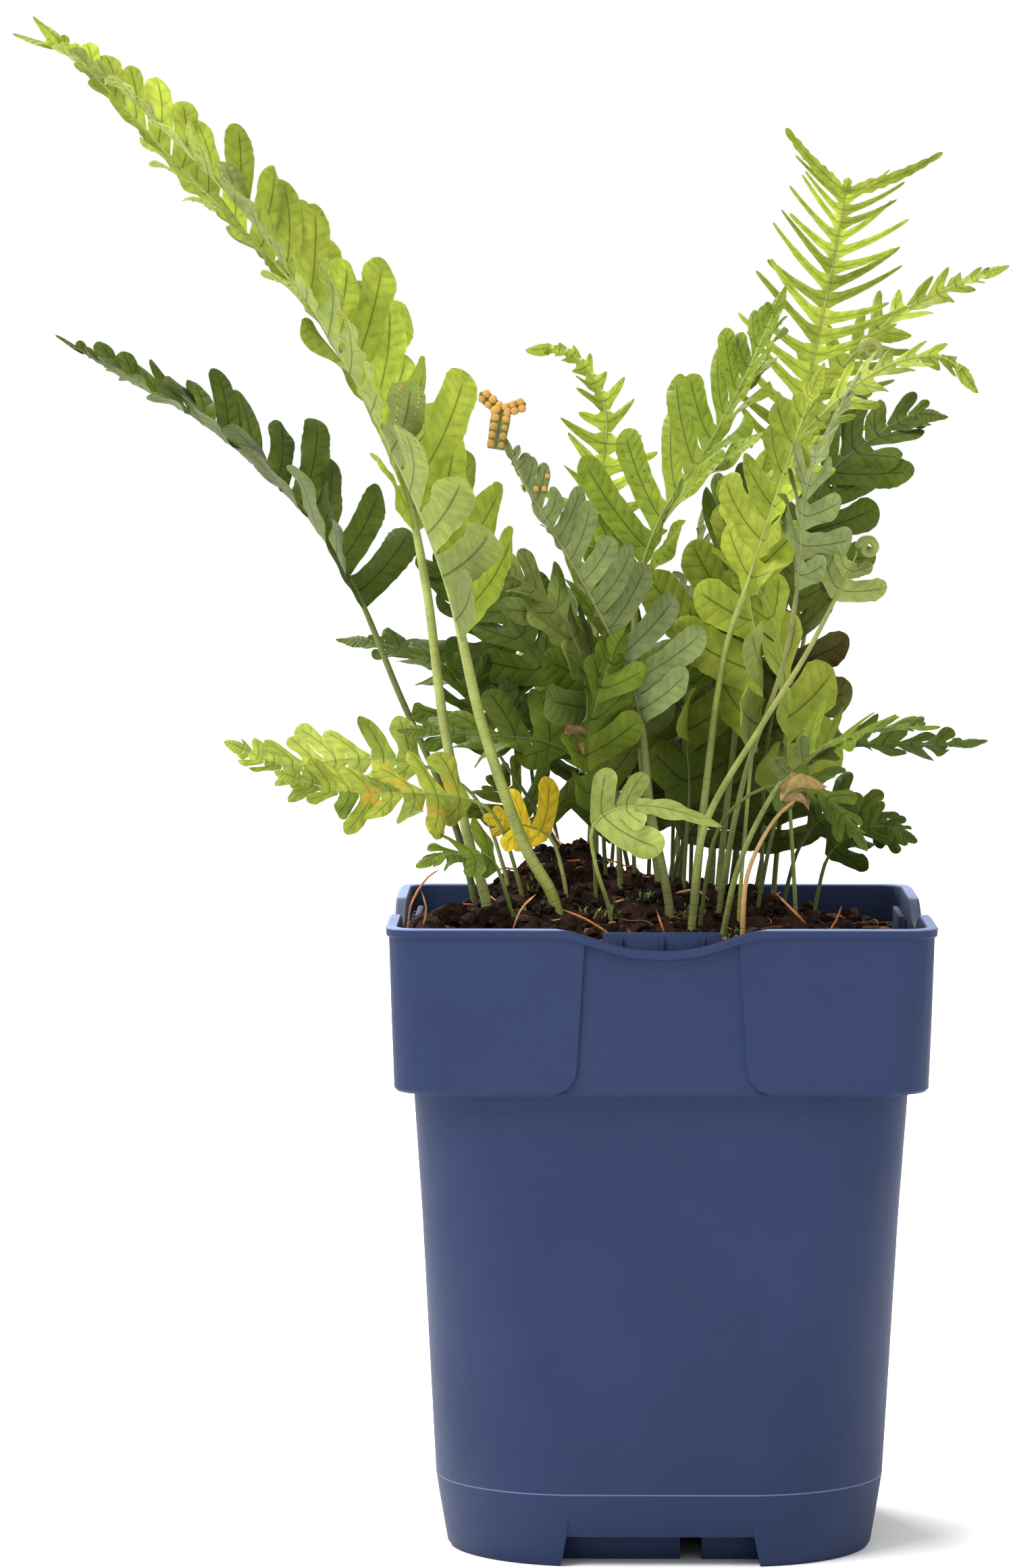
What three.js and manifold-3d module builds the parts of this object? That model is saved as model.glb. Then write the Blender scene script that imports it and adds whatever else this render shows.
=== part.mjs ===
// Potted common polypody: a fern in a square plastic nursery pot.
// Units are millimetres, +Z is up, the origin is the centre of the pot's underside.
import * as THREE from "three";
import { mergeVertices } from "three/addons/utils/BufferGeometryUtils.js";
import Module from "manifold-3d";

const wasm = await Module();
wasm.setup();

// Pot sizes
const POT_HEIGHT = 130;
const RIM_HALF = 55;
const RIM_BEAD_HEIGHT = 1.6;
const RIM_BEAD_PROUD = 0.6;
const COLLAR_BOTTOM = 97;
const COLLAR_STEP = 3.8;
const WALL = 1.8;
const BODY_TOP_HALF = 49.7;
const BODY_LOW_HALF = 45.8;
const BODY_MIDDLE_HALF = 48.2;
const BODY_MIDDLE_LEVEL = 70;
const BASE_HALF = 43;
const PARTING_LEVEL = 15;
const FLOOR_TOP = 7;
const FLOOR_BOTTOM = 5;
const TOP_CORNER = 6;
const BASE_CORNER = 28;
const CORNER_STEPS = 3;
// Centre panel and notch on each side
const PANEL_TOP_HALF = 15;
const PANEL_BOTTOM_HALF = 17;
const PANEL_DEPTH = 0.8;
const PANEL_CORNER = 4.5;
const PANEL_CORNER_STEPS = 3;
const NOTCH_HALF = 22;
const NOTCH_DEPTH = 4.4;
const NOTCH_STEPS = 6;
const LIP_THICK = 2.2;
// Label tab behind each notch
const TAB_HALF = 12.9;
const TAB_TOP_HALF = 11.5;
const TAB_TOP = 128.9;
const TAB_BOTTOM = 113;
const TAB_THICK = 1.2;
const TAB_SETBACK = 2.4;
const TAB_LEDGE = 1.6;
const TAB_CHAMFER = 1.4;
const RIB_SPACING = 8.2;
const RIB_WIDTH = 0.6;
const RIB_PROUD = 0.4;
const RIB_LENGTH = 6;
// Foot
const FOOT_NOTCH_TOP_HALF = 18.4;
const FOOT_NOTCH_BOTTOM_HALF = 19.9;
const FOOT_NOTCH_HEIGHT = 7;
const INNER_FOOT_HALF = 35;
const INNER_FOOT_THICK = 1.8;
const INNER_GAP_CENTRE = 6.3;
const INNER_GAP_WIDTH = 4.3;
const HUB_RADIUS = 3.9;
const DRAIN_RADIUS = 4;
const DRAIN_PLACE = 23;
const ROUND_STEPS = 8;
// Soil
const SOIL_GAP = 0.4;
const SOIL_EDGE_LEVEL = 122;
const SOIL_RINGS = 6;
// Centre x and y, reach and rise of each rise in the soil's surface
const SOIL_HILLS = [[-8, -2, 26, 13], [-22, 1, 8, 8.5], [-40, -36, 18, 4.5], [24, -8, 13, 3]];
const HOLE_CLEAR = 0.4;
const HOLE_STEPS = 4;
const HOLE_ABOVE = 7;
// Fronds
const ROOT_DEPTH = 12;
const ROOT_RISE = 3;
const LEAF_THICK = 0.64;
const WING_HALF = 1.3;
const WING_END_SHARE = 0.8;
const MIDRIB_MIN = 0.45;
// End lobe: half widths, from which share of the blade it counts as long, and thickness of its rib
const LOBE_HALF = 2.4;
const LONG_LOBE_HALF = 3.4;
const LONG_LOBE = 0.3;
const LOBE_RIB = 0.42;
const TIP_RIB = 0.36;
const TIP_HALF = 0.7;
// Rolled tip
const COIL_TURNS = 1.2;
const COIL_ROWS = 12;
const COIL_TIGHTENING = 0.6;
const COIL_THICK = 0.52;
const COIL_END_THICK = 0.42;
// Leaflets
const STEM_ROW_LENGTH = 36;
const LEAF_CLEAR = 0.32;
const END_WIDTH = 0.36;
const TAPERED_SHARE = 0.4;
const FORK_SWEEP = 68;
const FORK_HALF = 1.0;
const FORKED_NARROWING = 0.75;
const BASE_SWEEP = 68;
const CLOSING = 22;
const ROW_SPREAD = 1.3;
const HOOK = 0.2;
const WILDNESS = 1.6;
// Neighbouring leaflets may touch from the midrib out to this share of their length
const TOUCHING_SHARE = 0.35;
const BEND_STEPS = [0, 14, -14, 28, -28, 42, -42, 58];
const LENGTH_STEPS = [1, 0.7];
const GRID_CELL = 12;

const rad = (degrees) => degrees * Math.PI / 180;
const mix = (a, b, t) => a + (b - a) * t;
const vec = (p) => new THREE.Vector3(p[0], p[1], p[2]);

// Each frond: root is where it leaves the soil (x, y), path goes on from there to its tip, in mm.
// face: where the upper side looks at the tip; baseFace: the same at the base, when it differs;
// fold: how far leaflets rise from flat, in degrees; bare: share of the length with no leaflets;
// pairs: leaflet pairs; reach: longest leaflet; curl: bow of a leaflet; radius: stem radius at the base;
// sweep: angle between the lowest leaflets and the midrib, in degrees; close: how much it lessens to the tip;
// taper: share by which leaflets shorten evenly to the tip; tapered: each leaflet narrows to a point;
// wide and narrow: leaflet width as a share of the room it has;
// lobe: share of the blade in the end lobe; fork: length of the last pair where it spreads like a fork;
// coil: radius of a tip that is still rolled up; calm: leaflets stand evenly.
const FRONDS = [
  { name: "frond_tall_front", tone: "bright", root: [-21, -28], face: [0.8, -0.3, 0.6], fold: 44,
    bare: 0.27, pairs: 20, reach: 24, curl: -0.12, radius: 1.3, taper: 0.42, calm: true,
    path: [[-28, -31, 146], [-36, -38, 170], [-42, -46, 196], [-51, -52, 220], [-64, -58, 245],
      [-79, -62, 268], [-96, -64, 286], [-112, -64, 300], [-127, -62, 306]] },
  { name: "frond_tall_back", tone: "bright", root: [-35, -26], face: [0.7, -0.5, 0.5], fold: 34,
    bare: 0.36, pairs: 17, reach: 19, curl: -0.1, radius: 1.1, taper: 0.35, calm: true,
    path: [[-39, -26, 146], [-44, -22, 169], [-48, -14, 198], [-54, -8, 221], [-70, 0, 251], [-87, 6, 270],
      [-101, 10, 284], [-115, 12, 299], [-130, 14, 314]] },
  { name: "frond_deep_left", tone: "deep", root: [-38, 3], face: [0.6, -0.1, 0.8],
    baseFace: [0.75, -0.6, 0.2], fold: 34, bare: 0.42, pairs: 14, reach: 21, curl: -0.1, radius: 0.8,
    taper: 0.35, calm: true,
    path: [[-44, 6, 151], [-54, 12, 173], [-64, 18, 196], [-76, 22, 213], [-96, 24, 230], [-110, 22, 238],
      [-126, 18, 248]] },
  { name: "frond_small_left", tone: "deep", root: [-25, 12], face: [0, -0.5, 0.9], fold: 15, bare: 0.45,
    pairs: 5, reach: 9, curl: -0.1, radius: 0.45,
    path: [[-27, 16, 160], [-33, 20, 173], [-48, 24, 179], [-59, 26, 183], [-68, 28, 184]] },
  { name: "frond_low_left_back", tone: "pale", root: [-31, -6], face: [0.1, -0.75, 0.6], fold: 10,
    bare: 0.42, pairs: 9, reach: 9, curl: 0.05, radius: 0.45, narrow: 0.9,
    path: [[-38, -8, 153], [-50, -10, 160], [-63, -12, 161], [-77, -15, 160], [-89, -16, 165]] },
  { name: "frond_low_left_front", tone: "spotted", root: [-28, -18], face: [0.1, -0.75, 0.6], fold: 5,
    bare: 0.36, pairs: 9, reach: 9, curl: -0.05, radius: 0.45,
    path: [[-34, -27, 151], [-43, -34, 155], [-52, -40, 156], [-65, -47, 157], [-77, -50, 161]] },
  { name: "frond_low_rim", tone: "mid", root: [-30, -36], face: [0, -0.6, 0.8], fold: 5, bare: 0.3,
    pairs: 4, reach: 7, curl: -0.1, radius: 0.45,
    path: [[-34, -41, 143], [-39, -45, 144], [-44, -48, 144], [-49, -50, 142]] },
  { name: "frond_yellow", tone: "yellow", root: [-19, -18], face: [0, -1, 0.3], fold: 12, bare: 0.4,
    pairs: 3, reach: 8, curl: -0.15, radius: 0.45,
    path: [[-22, -19, 145], [-27, -21, 148], [-36, -24, 150]] },
  { name: "frond_pale_front", tone: "palest", root: [-10, -34], face: [0.1, -1, 0.3], fold: 5, bare: 0.42,
    pairs: 2, reach: 10, curl: -0.1, radius: 0.45, lobe: 0.62, wide: 1.2,
    path: [[-13, -41, 141], [-14, -44, 149], [-10, -46, 153], [-4, -48, 154], [3, -49, 153], [12, -50, 150]] },
  { name: "frond_mid_left", tone: "mid", root: [-11, -6], face: [0.2, -0.6, 0.75], fold: 16, bare: 0.42,
    pairs: 5, reach: 11, curl: -0.1, radius: 0.45,
    path: [[-13, -8, 156], [-22, -10, 164], [-38, -11, 166], [-54, -10, 167]] },
  { name: "frond_centre_grey", tone: "grey", root: [2, -26], face: [0.75, 0.5, 0.45], fold: 42, bare: 0.36,
    pairs: 13, reach: 17, curl: -0.1, radius: 0.95, narrow: 1.0, sweep: 80, close: 20, taper: 0.35,
    calm: true,
    path: [[-2, -28, 152], [-5, -30, 175], [-13, -31, 193], [-21, -30, 207], [-28, -28, 219],
      [-32, -27, 228]] },
  { name: "frond_centre_back", tone: "bright", root: [-13, 20], face: [0.3, -0.8, 0.5], fold: 18,
    bare: 0.56, pairs: 12, reach: 14, curl: -0.1, radius: 0.65, narrow: 0.8, sweep: 80, taper: 0.85,
    tapered: true,
    path: [[-13, 28, 176], [-12, 36, 215], [-11, 38, 232], [-18, 40, 244], [-28, 40, 245]] },
  { name: "frond_bumpy", tone: "fresh", root: [0, -12], face: [-0.75, -0.6, 0.1], fold: 30, bare: 0.44,
    pairs: 12, reach: 21, curl: -0.1, radius: 0.85, sweep: 60, taper: 0.3, calm: true,
    path: [[-4, -10, 164], [-5, -8, 192], [0, -6, 210], [10, -2, 225], [19, 2, 242], [26, 6, 258]] },
  { name: "frond_tall_right", tone: "bright", root: [11, 18], face: [0.3, -0.9, 0.2], fold: 14, bare: 0.6,
    pairs: 17, reach: 17, curl: -0.15, radius: 0.85, lobe: 0.03, narrow: 0.8, fork: 19, sweep: 80,
    taper: 0.1, calm: true, tapered: true,
    path: [[14, 24, 177], [22, 28, 205], [31, 30, 236], [36, 30, 259], [40, 28, 281]] },
  { name: "frond_far_right", tone: "bright", root: [16, 31], face: [0.1, -0.6, 0.8], fold: 12, bare: 0.64,
    pairs: 11, reach: 10, curl: -0.1, radius: 0.7, narrow: 1.0, taper: 0.3, tapered: true,
    path: [[21, 40, 183], [30, 46, 226], [47, 48, 249], [62, 48, 258], [75, 46, 263]] },
  { name: "frond_right_curled", tone: "bright", root: [12, -10], face: [0, -0.6, 0.9], fold: 8, bare: 0.6,
    pairs: 10, reach: 10, curl: -0.1, radius: 0.7, taper: 0.3, tapered: true,
    path: [[18, -14, 185], [26, -20, 221], [32, -22, 231], [45, -24, 241], [57, -24, 243], [64, -24, 236]] },
  { name: "frond_deep_right", tone: "deep", root: [15, 5], face: [0.2, -0.7, 0.7], fold: 12, bare: 0.55,
    pairs: 8, reach: 14, curl: -0.1, radius: 0.7,
    path: [[22, 6, 177], [27, 8, 194], [34, 10, 217], [44, 12, 226], [52, 12, 231], [60, 10, 231]] },
  { name: "frond_broad_right", tone: "bright", root: [7, -21], face: [-0.7, -0.6, 0.4], fold: 24,
    bare: 0.56, pairs: 7, reach: 13, curl: -0.1, radius: 0.85, wide: 1.05, narrow: 0.9, taper: 0.2,
    calm: true,
    path: [[12, -29, 179], [18, -35, 200], [26, -41, 225], [32, -44, 242]] },
  { name: "frond_young_bud", tone: "stem", root: [6, -34], face: [0.2, -1, 0.2], fold: 10, bare: 0.86,
    pairs: 2, reach: 7, curl: 0, radius: 0.8, coil: 1.8, calm: true,
    path: [[9, -38, 150], [20, -44, 170], [29, -48, 185], [37, -50, 201], [39, -50, 206]] },
  { name: "frond_browned", tone: "browned", root: [21, -6], face: [0.3, -0.9, 0.3], fold: 12, bare: 0.45,
    pairs: 5, reach: 13, curl: -0.12, radius: 0.45,
    path: [[22, -5, 162], [26, -4, 180], [29, -3, 196], [31, -3, 207]] },
  { name: "frond_low_right_front", tone: "mid", root: [12, -40], face: [0, -0.3, 0.95], fold: 32,
    bare: 0.5, pairs: 9, reach: 10, curl: -0.08, radius: 0.7, narrow: 0.85, sweep: 60, taper: 0.3,
    path: [[16, -46, 144], [24, -54, 160], [33, -60, 167], [41, -64, 170], [54, -68, 171]] },
  { name: "frond_low_right_back", tone: "deep", root: [20, -16], face: [0.1, -0.4, 0.9], fold: 16,
    bare: 0.45, pairs: 6, reach: 7, curl: -0.08, radius: 0.45, narrow: 0.8,
    path: [[25, -20, 153], [34, -24, 164], [44, -26, 165], [57, -28, 165], [66, -28, 166]] },
  { name: "frond_drooping", tone: "deep", root: [8, -30], face: [0.6, -0.6, 0.5], fold: 8, bare: 0.55,
    pairs: 5, reach: 7, curl: -0.1, radius: 0.45, narrow: 0.8,
    path: [[11, -33, 147], [17, -37, 155], [25, -41, 158], [31, -43, 157], [37, -45, 151], [41, -47, 145]] },
  { name: "frond_inner_right", tone: "deep", root: [4, 7], face: [0.6, -0.7, 0.4], fold: 12, bare: 0.16,
    pairs: 6, reach: 15, curl: -0.1, radius: 0.45,
    path: [[9, 11, 154], [15, 15, 172], [22, 18, 188], [26, 18, 198]] },
  { name: "frond_inner_left", tone: "deep", root: [-6, 10], face: [-0.5, -0.7, 0.5], fold: 12, bare: 0.3,
    pairs: 6, reach: 14, curl: -0.1, radius: 0.45,
    path: [[-12, 16, 157], [-24, 22, 177], [-34, 28, 192], [-40, 32, 202]] },
  { name: "frond_inner_back", tone: "mid", root: [3, 24], face: [0.7, 0.4, 0.5], fold: 12, bare: 0.3,
    pairs: 6, reach: 14, curl: -0.1, radius: 0.45,
    path: [[4, 30, 162], [6, 38, 184], [9, 46, 204], [11, 50, 214]] },
  { name: "frond_centre_low", tone: "grey", root: [-8, -14], face: [0.5, -0.75, 0.45], fold: 26, bare: 0.3,
    pairs: 7, reach: 16, curl: -0.1, radius: 0.65,
    path: [[-9, -18, 155], [-11, -21, 168], [-15, -24, 180], [-19, -26, 189], [-25, -28, 196],
      [-32, -28, 200], [-37, -27, 201]] },
  { name: "frond_right_fresh", tone: "bright", root: [28, -10], face: [0.5, -0.6, 0.6], fold: 14,
    bare: 0.26, pairs: 5, reach: 13, curl: -0.1, radius: 0.45,
    path: [[26, -17, 160], [25, -22, 180], [19, -25, 198], [10, -27, 205]] },
  { name: "frond_low_deep_right", tone: "deep", root: [26, 4], face: [0, -0.8, 0.6], fold: 8, bare: 0.35,
    pairs: 5, reach: 7, curl: -0.1, radius: 0.45, narrow: 0.8,
    path: [[30, 6, 143], [37, 8, 149], [45, 8, 148], [52, 8, 142]] },
  { name: "frond_rear", tone: "mid", root: [5, 37], face: [0.1, -0.5, 0.9], fold: 12, bare: 0.35, pairs: 7,
    reach: 14, curl: -0.1, radius: 0.45,
    path: [[6, 46, 152], [5, 58, 168], [2, 72, 174], [-2, 86, 170]] },
  { name: "frond_rear_left", tone: "fresh", root: [-13, 37], face: [0.2, -0.4, 0.9], fold: 14, bare: 0.38,
    pairs: 7, reach: 14, curl: -0.1, radius: 0.45,
    path: [[-15, 46, 152], [-20, 58, 168], [-26, 70, 177], [-34, 82, 178]] },
  { name: "frond_coiled", tone: "stem", root: [24, 18], face: [0, -1, 0.1], fold: 0, bare: 1, pairs: 0,
    reach: 0, curl: 0, radius: 0.6, coil: 2.0,
    path: [[28, 22, 167], [35, 26, 207], [42, 30, 238], [43, 30, 245]] },
  { name: "dry_stalk", tone: "dry", root: [16, -46], face: [0, -1, 0.1], fold: 0, bare: 1, pairs: 0,
    reach: 0, curl: 0, radius: 0.6,
    path: [[17, -47, 140], [22, -50, 151], [28, -52, 157]] },
  { name: "frond_centre_broad", tone: "mid", root: [-13, -20], face: [0.6, -0.6, 0.5], fold: 24, bare: 0.3,
    pairs: 5, reach: 12, curl: -0.1, radius: 0.45,
    path: [[-14, -28, 153], [-15, -33, 164], [-13, -35, 174], [-10, -35, 183], [-7, -33, 189]] },
  { name: "frond_right_bright", tone: "bright", root: [16, -22], face: [-0.5, -0.7, 0.5], fold: 16,
    bare: 0.34, pairs: 6, reach: 15, curl: -0.1, radius: 0.45,
    path: [[18, -26, 158], [20, -28, 179], [18, -28, 193], [17, -28, 204], [20, -28, 214], [25, -27, 223]] },
  { name: "frond_right_grey", tone: "grey", root: [12, -22], face: [0.7, 0.2, 0.6], fold: 18, bare: 0.6,
    pairs: 8, reach: 11, curl: -0.1, radius: 0.65, narrow: 0.9, taper: 0.3,
    path: [[17, -30, 159], [24, -40, 181], [27, -50, 200], [28, -57, 216], [33, -56, 230], [39, -54, 240]] },
  { name: "frond_behind_bumpy", tone: "deep", root: [7, 28], face: [-0.3, -0.8, 0.5], fold: 14, bare: 0.58,
    pairs: 6, reach: 14, curl: -0.1, radius: 0.45,
    path: [[8, 34, 162], [9, 36, 182], [12, 37, 199], [16, 36, 211], [19, 35, 220]] },
  { name: "frond_small_right", tone: "deep", root: [32, -5], face: [0.1, -0.7, 0.7], fold: 8, bare: 0.3,
    pairs: 5, reach: 7, curl: -0.1, radius: 0.45, narrow: 0.8,
    path: [[35, -6, 141], [41, -8, 146], [47, -9, 147], [53, -10, 144]] },
  { name: "frond_left_dark", tone: "deep", root: [-19, 26], face: [0.4, -0.8, 0.5], fold: 14, bare: 0.5,
    pairs: 6, reach: 14, curl: -0.1, radius: 0.45,
    path: [[-24, 32, 153], [-32, 36, 173], [-38, 40, 187], [-43, 42, 197], [-47, 43, 207]] },
  { name: "frond_right_yellow", tone: "bright", root: [14, 26], face: [0.2, -0.9, 0.4], fold: 12,
    bare: 0.5, pairs: 4, reach: 11, curl: -0.1, radius: 0.45,
    path: [[18, 32, 153], [24, 36, 164], [28, 38, 172], [31, 38, 178]] },
  { name: "frond_centre_rise", tone: "fresh", root: [-5, 4], face: [0.4, -0.85, 0.4], fold: 16, bare: 0.3,
    pairs: 6, reach: 14, curl: -0.1, radius: 0.45,
    path: [[-6, 8, 156], [-9, 12, 176], [-12, 14, 190], [-13, 14, 202], [-14, 13, 210]] },
  { name: "frond_left_low_dark", tone: "deep", root: [-21, 0], face: [0.5, -0.8, 0.4], fold: 10,
    bare: 0.46, pairs: 5, reach: 12, curl: -0.1, radius: 0.45,
    path: [[-25, 4, 149], [-34, 8, 162], [-39, 12, 171], [-42, 14, 182]] },
  { name: "frond_rear_right", tone: "fresh", root: [2, 34], face: [-0.2, 0.5, 0.9], fold: 12, bare: 0.42,
    pairs: 6, reach: 14, curl: -0.1, radius: 0.45,
    path: [[7, 44, 152], [14, 56, 169], [21, 68, 180], [31, 76, 187]] },
  { name: "frond_rear_centre", tone: "mid", root: [-15, 42], face: [0.2, 0.6, 0.8], fold: 12, bare: 0.42,
    pairs: 6, reach: 14, curl: -0.1, radius: 0.45,
    path: [[-14, 50, 153], [-15, 58, 172], [-17, 64, 185], [-20, 68, 195]] },
  { name: "frond_mid_right", tone: "fresh", root: [5, -10], face: [0.5, -0.7, 0.5], fold: 14, bare: 0.22,
    pairs: 5, reach: 14, curl: -0.1, radius: 0.45,
    path: [[6, -14, 156], [5, -16, 170], [7, -18, 183], [12, -20, 192], [17, -22, 199]] },
  { name: "frond_bright_back", tone: "bright", root: [4, 12], face: [-0.2, -0.9, 0.4], fold: 14,
    bare: 0.36, pairs: 6, reach: 14, curl: -0.1, radius: 0.45,
    path: [[5, 16, 160], [9, 20, 181], [16, 22, 198], [20, 24, 213], [24, 25, 226]] },
  { name: "frond_low_centre_dark", tone: "deep", root: [3, -2], face: [0.2, -0.8, 0.6], fold: 12,
    bare: 0.2, pairs: 5, reach: 13, curl: -0.1, radius: 0.45,
    path: [[6, -2, 145], [12, -1, 152], [19, -2, 157]] },
  { name: "frond_low_right_rise", tone: "mid", root: [20, 14], face: [-0.2, -0.8, 0.5], fold: 12,
    bare: 0.25, pairs: 5, reach: 12, curl: -0.1, radius: 0.45,
    path: [[23, 17, 144], [26, 19, 155], [28, 20, 165]] },
  { name: "frond_low_centre_back", tone: "deep", root: [-10, 26], face: [0.3, -0.8, 0.5], fold: 12,
    bare: 0.25, pairs: 5, reach: 14, curl: -0.1, radius: 0.45,
    path: [[-9, 30, 146], [-9, 33, 157], [-11, 34, 167]] },
  { name: "frond_low_left_centre", tone: "mid", root: [-24, 10], face: [-0.2, -0.8, 0.6], fold: 12,
    bare: 0.2, pairs: 4, reach: 12, curl: -0.1, radius: 0.45,
    path: [[-27, 10, 146], [-31, 11, 153], [-36, 13, 156]] },
  { name: "frond_centre_right_mid", tone: "mid", root: [8, -6], face: [0.3, -0.85, 0.4], fold: 14,
    bare: 0.42, pairs: 5, reach: 14, curl: -0.1, radius: 0.45,
    path: [[9, -4, 153], [14, -3, 166], [19, -3, 176], [24, -5, 182]] },
  { name: "frond_centre_dark", tone: "deep", root: [-2, 16], face: [0.2, -0.85, 0.4], fold: 12, bare: 0.3,
    pairs: 5, reach: 14, curl: -0.1, radius: 0.45,
    path: [[-1, 20, 154], [1, 22, 168], [5, 23, 180]] },
];

const TONES = {
  bright: 0xa8c832, fresh: 0x7fb03a, mid: 0x5f8f34, deep: 0x35602c, grey: 0x74905a, pale: 0x8fb050,
  spotted: 0x93a845, yellow: 0xd9c428, palest: 0xa3bd66, stem: 0x9aa964, browned: 0x6b6a2e, dry: 0xa88758,
};

// Outline points of a square with rounded corners, always the same number of points.
function roundedSquare(half, corner) {
  const points = [];
  for (let side = 0; side < 4; side += 1) {
    const turn = side * Math.PI / 2;
    for (let step = 0; step <= CORNER_STEPS; step += 1) {
      const angle = turn + (step / CORNER_STEPS) * Math.PI / 2;
      const centre = half - corner;
      const cx = centre * (side === 0 || side === 3 ? 1 : -1);
      const cy = centre * (side < 2 ? 1 : -1);
      points.push([cx + corner * Math.cos(angle), cy + corner * Math.sin(angle)]);
    }
  }
  return points;
}

function meshFrom(positions, triangles) {
  const geometry = new THREE.BufferGeometry();
  geometry.setAttribute("position", new THREE.Float32BufferAttribute(positions.flat(), 3));
  geometry.setIndex(triangles.flat());
  return geometry;
}

// A closed body through rings of points that all have the same count, closed by a fan at both ends.
function loft(rings) {
  const count = rings[0].length;
  const positions = rings.flat();
  const triangles = [];
  for (let ring = 0; ring + 1 < rings.length; ring += 1) {
    for (let i = 0; i < count; i += 1) {
      const a = ring * count + i;
      const b = ring * count + (i + 1) % count;
      triangles.push([a, b, b + count], [a, b + count, a + count]);
    }
  }
  const last = (rings.length - 1) * count;
  const middle = (ring) => [0, 1, 2].map((k) => ring.reduce((sum, p) => sum + p[k], 0) / count);
  positions.push(middle(rings[0]), middle(rings[rings.length - 1]));
  for (let i = 0; i < count; i += 1) {
    const next = (i + 1) % count;
    triangles.push([next, i, positions.length - 2], [last + i, last + next, positions.length - 1]);
  }
  return meshFrom(positions, triangles);
}

function toManifold(geometry) {
  const bare = new THREE.BufferGeometry();
  bare.setAttribute("position", geometry.getAttribute("position").clone());
  if (geometry.index) bare.setIndex(geometry.index.clone());
  const merged = mergeVertices(bare, 1e-4);
  const mesh = new wasm.Mesh({
    numProp: 3,
    vertProperties: Float32Array.from(merged.attributes.position.array),
    triVerts: Uint32Array.from(merged.index.array),
  });
  return new wasm.Manifold(mesh);
}

function toGeometry(manifold) {
  const mesh = manifold.getMesh();
  const geometry = new THREE.BufferGeometry();
  geometry.setAttribute("position", new THREE.Float32BufferAttribute(Array.from(mesh.vertProperties), 3));
  geometry.setIndex(Array.from(mesh.triVerts));
  return geometry;
}

// A shape drawn in x and z, pushed through from y = front to y = back.
function slab(points, front, back) {
  const shape = new THREE.Shape(points.map((p) => new THREE.Vector2(p[0], p[1])));
  const geometry = new THREE.ExtrudeGeometry(shape, { depth: back - front, bevelEnabled: false });
  geometry.rotateX(Math.PI / 2);
  geometry.translate(0, back, 0);
  return geometry;
}

function onFourSides(geometry) {
  return [0, 1, 2, 3].map((quarter) => {
    const copy = geometry.clone();
    copy.rotateZ(quarter * Math.PI / 2);
    return toManifold(copy);
  });
}

function round(radius, bottom, top, x, y) {
  const geometry = new THREE.CylinderGeometry(radius, radius, top - bottom, ROUND_STEPS);
  geometry.rotateX(Math.PI / 2);
  geometry.translate(x, y, (top + bottom) / 2);
  return geometry;
}

// Pot outline as level, half size and corner radius, from the underside up.
const BEAD_BOTTOM = POT_HEIGHT - RIM_BEAD_HEIGHT;
const MOUTH_HALF = RIM_HALF - RIM_BEAD_PROUD - WALL;
const MOUTH_CORNER = TOP_CORNER - 1.4;
const LEDGE_LEVEL = COLLAR_BOTTOM - 2.4;
const OUTSIDE = [
  [0, BASE_HALF, BASE_CORNER],
  [3.6, BASE_HALF + 1.1, BASE_CORNER + 1],
  [PARTING_LEVEL, BODY_LOW_HALF, BASE_CORNER + 1],
  [40, 46.9, 23.5],
  [BODY_MIDDLE_LEVEL, BODY_MIDDLE_HALF, 17.5],
  [COLLAR_BOTTOM - 1, BODY_TOP_HALF, 12],
  [COLLAR_BOTTOM, BODY_TOP_HALF + COLLAR_STEP, 9],
  [BEAD_BOTTOM - 0.6, RIM_HALF - RIM_BEAD_PROUD, TOP_CORNER],
  [BEAD_BOTTOM, RIM_HALF, TOP_CORNER],
  [POT_HEIGHT - 0.3, RIM_HALF, TOP_CORNER],
  [POT_HEIGHT, RIM_HALF - 0.4, TOP_CORNER - 0.4],
];
const INSIDE = [
  [FLOOR_TOP, 43, BASE_CORNER - 0.4],
  [PARTING_LEVEL, BODY_LOW_HALF - WALL, BASE_CORNER - 0.6],
  [BODY_MIDDLE_LEVEL, BODY_MIDDLE_HALF - WALL, 16],
  [LEDGE_LEVEL, BODY_TOP_HALF - WALL, 10.5],
  [COLLAR_BOTTOM + 1, BODY_TOP_HALF + COLLAR_STEP - WALL, 7.4],
  [POT_HEIGHT, MOUTH_HALF, MOUTH_CORNER],
];

function ringAt(level, half, corner) {
  return roundedSquare(half, corner).map((p) => [p[0], p[1], level]);
}

function insideHalf(level) {
  for (let i = 0; i + 1 < INSIDE.length; i += 1) {
    const [low, high] = [INSIDE[i], INSIDE[i + 1]];
    if (level <= high[0]) {
      const t = (level - low[0]) / (high[0] - low[0]);
      return [mix(low[1], high[1], t), mix(low[2], high[2], t)];
    }
  }
  return INSIDE[INSIDE.length - 1].slice(1);
}

// Depth of the rim's dip at a place along one side.
function dip(x) {
  const t = Math.min(1, Math.abs(x) / NOTCH_HALF);
  return NOTCH_DEPTH * 0.5 * (1 + Math.cos(Math.PI * t ** 1.25));
}

// A solid through rounded squares, each given as level, half size and corner radius.
function block(...rows) {
  return toManifold(loft(rows.map((row) => ringAt(...row))));
}

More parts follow.
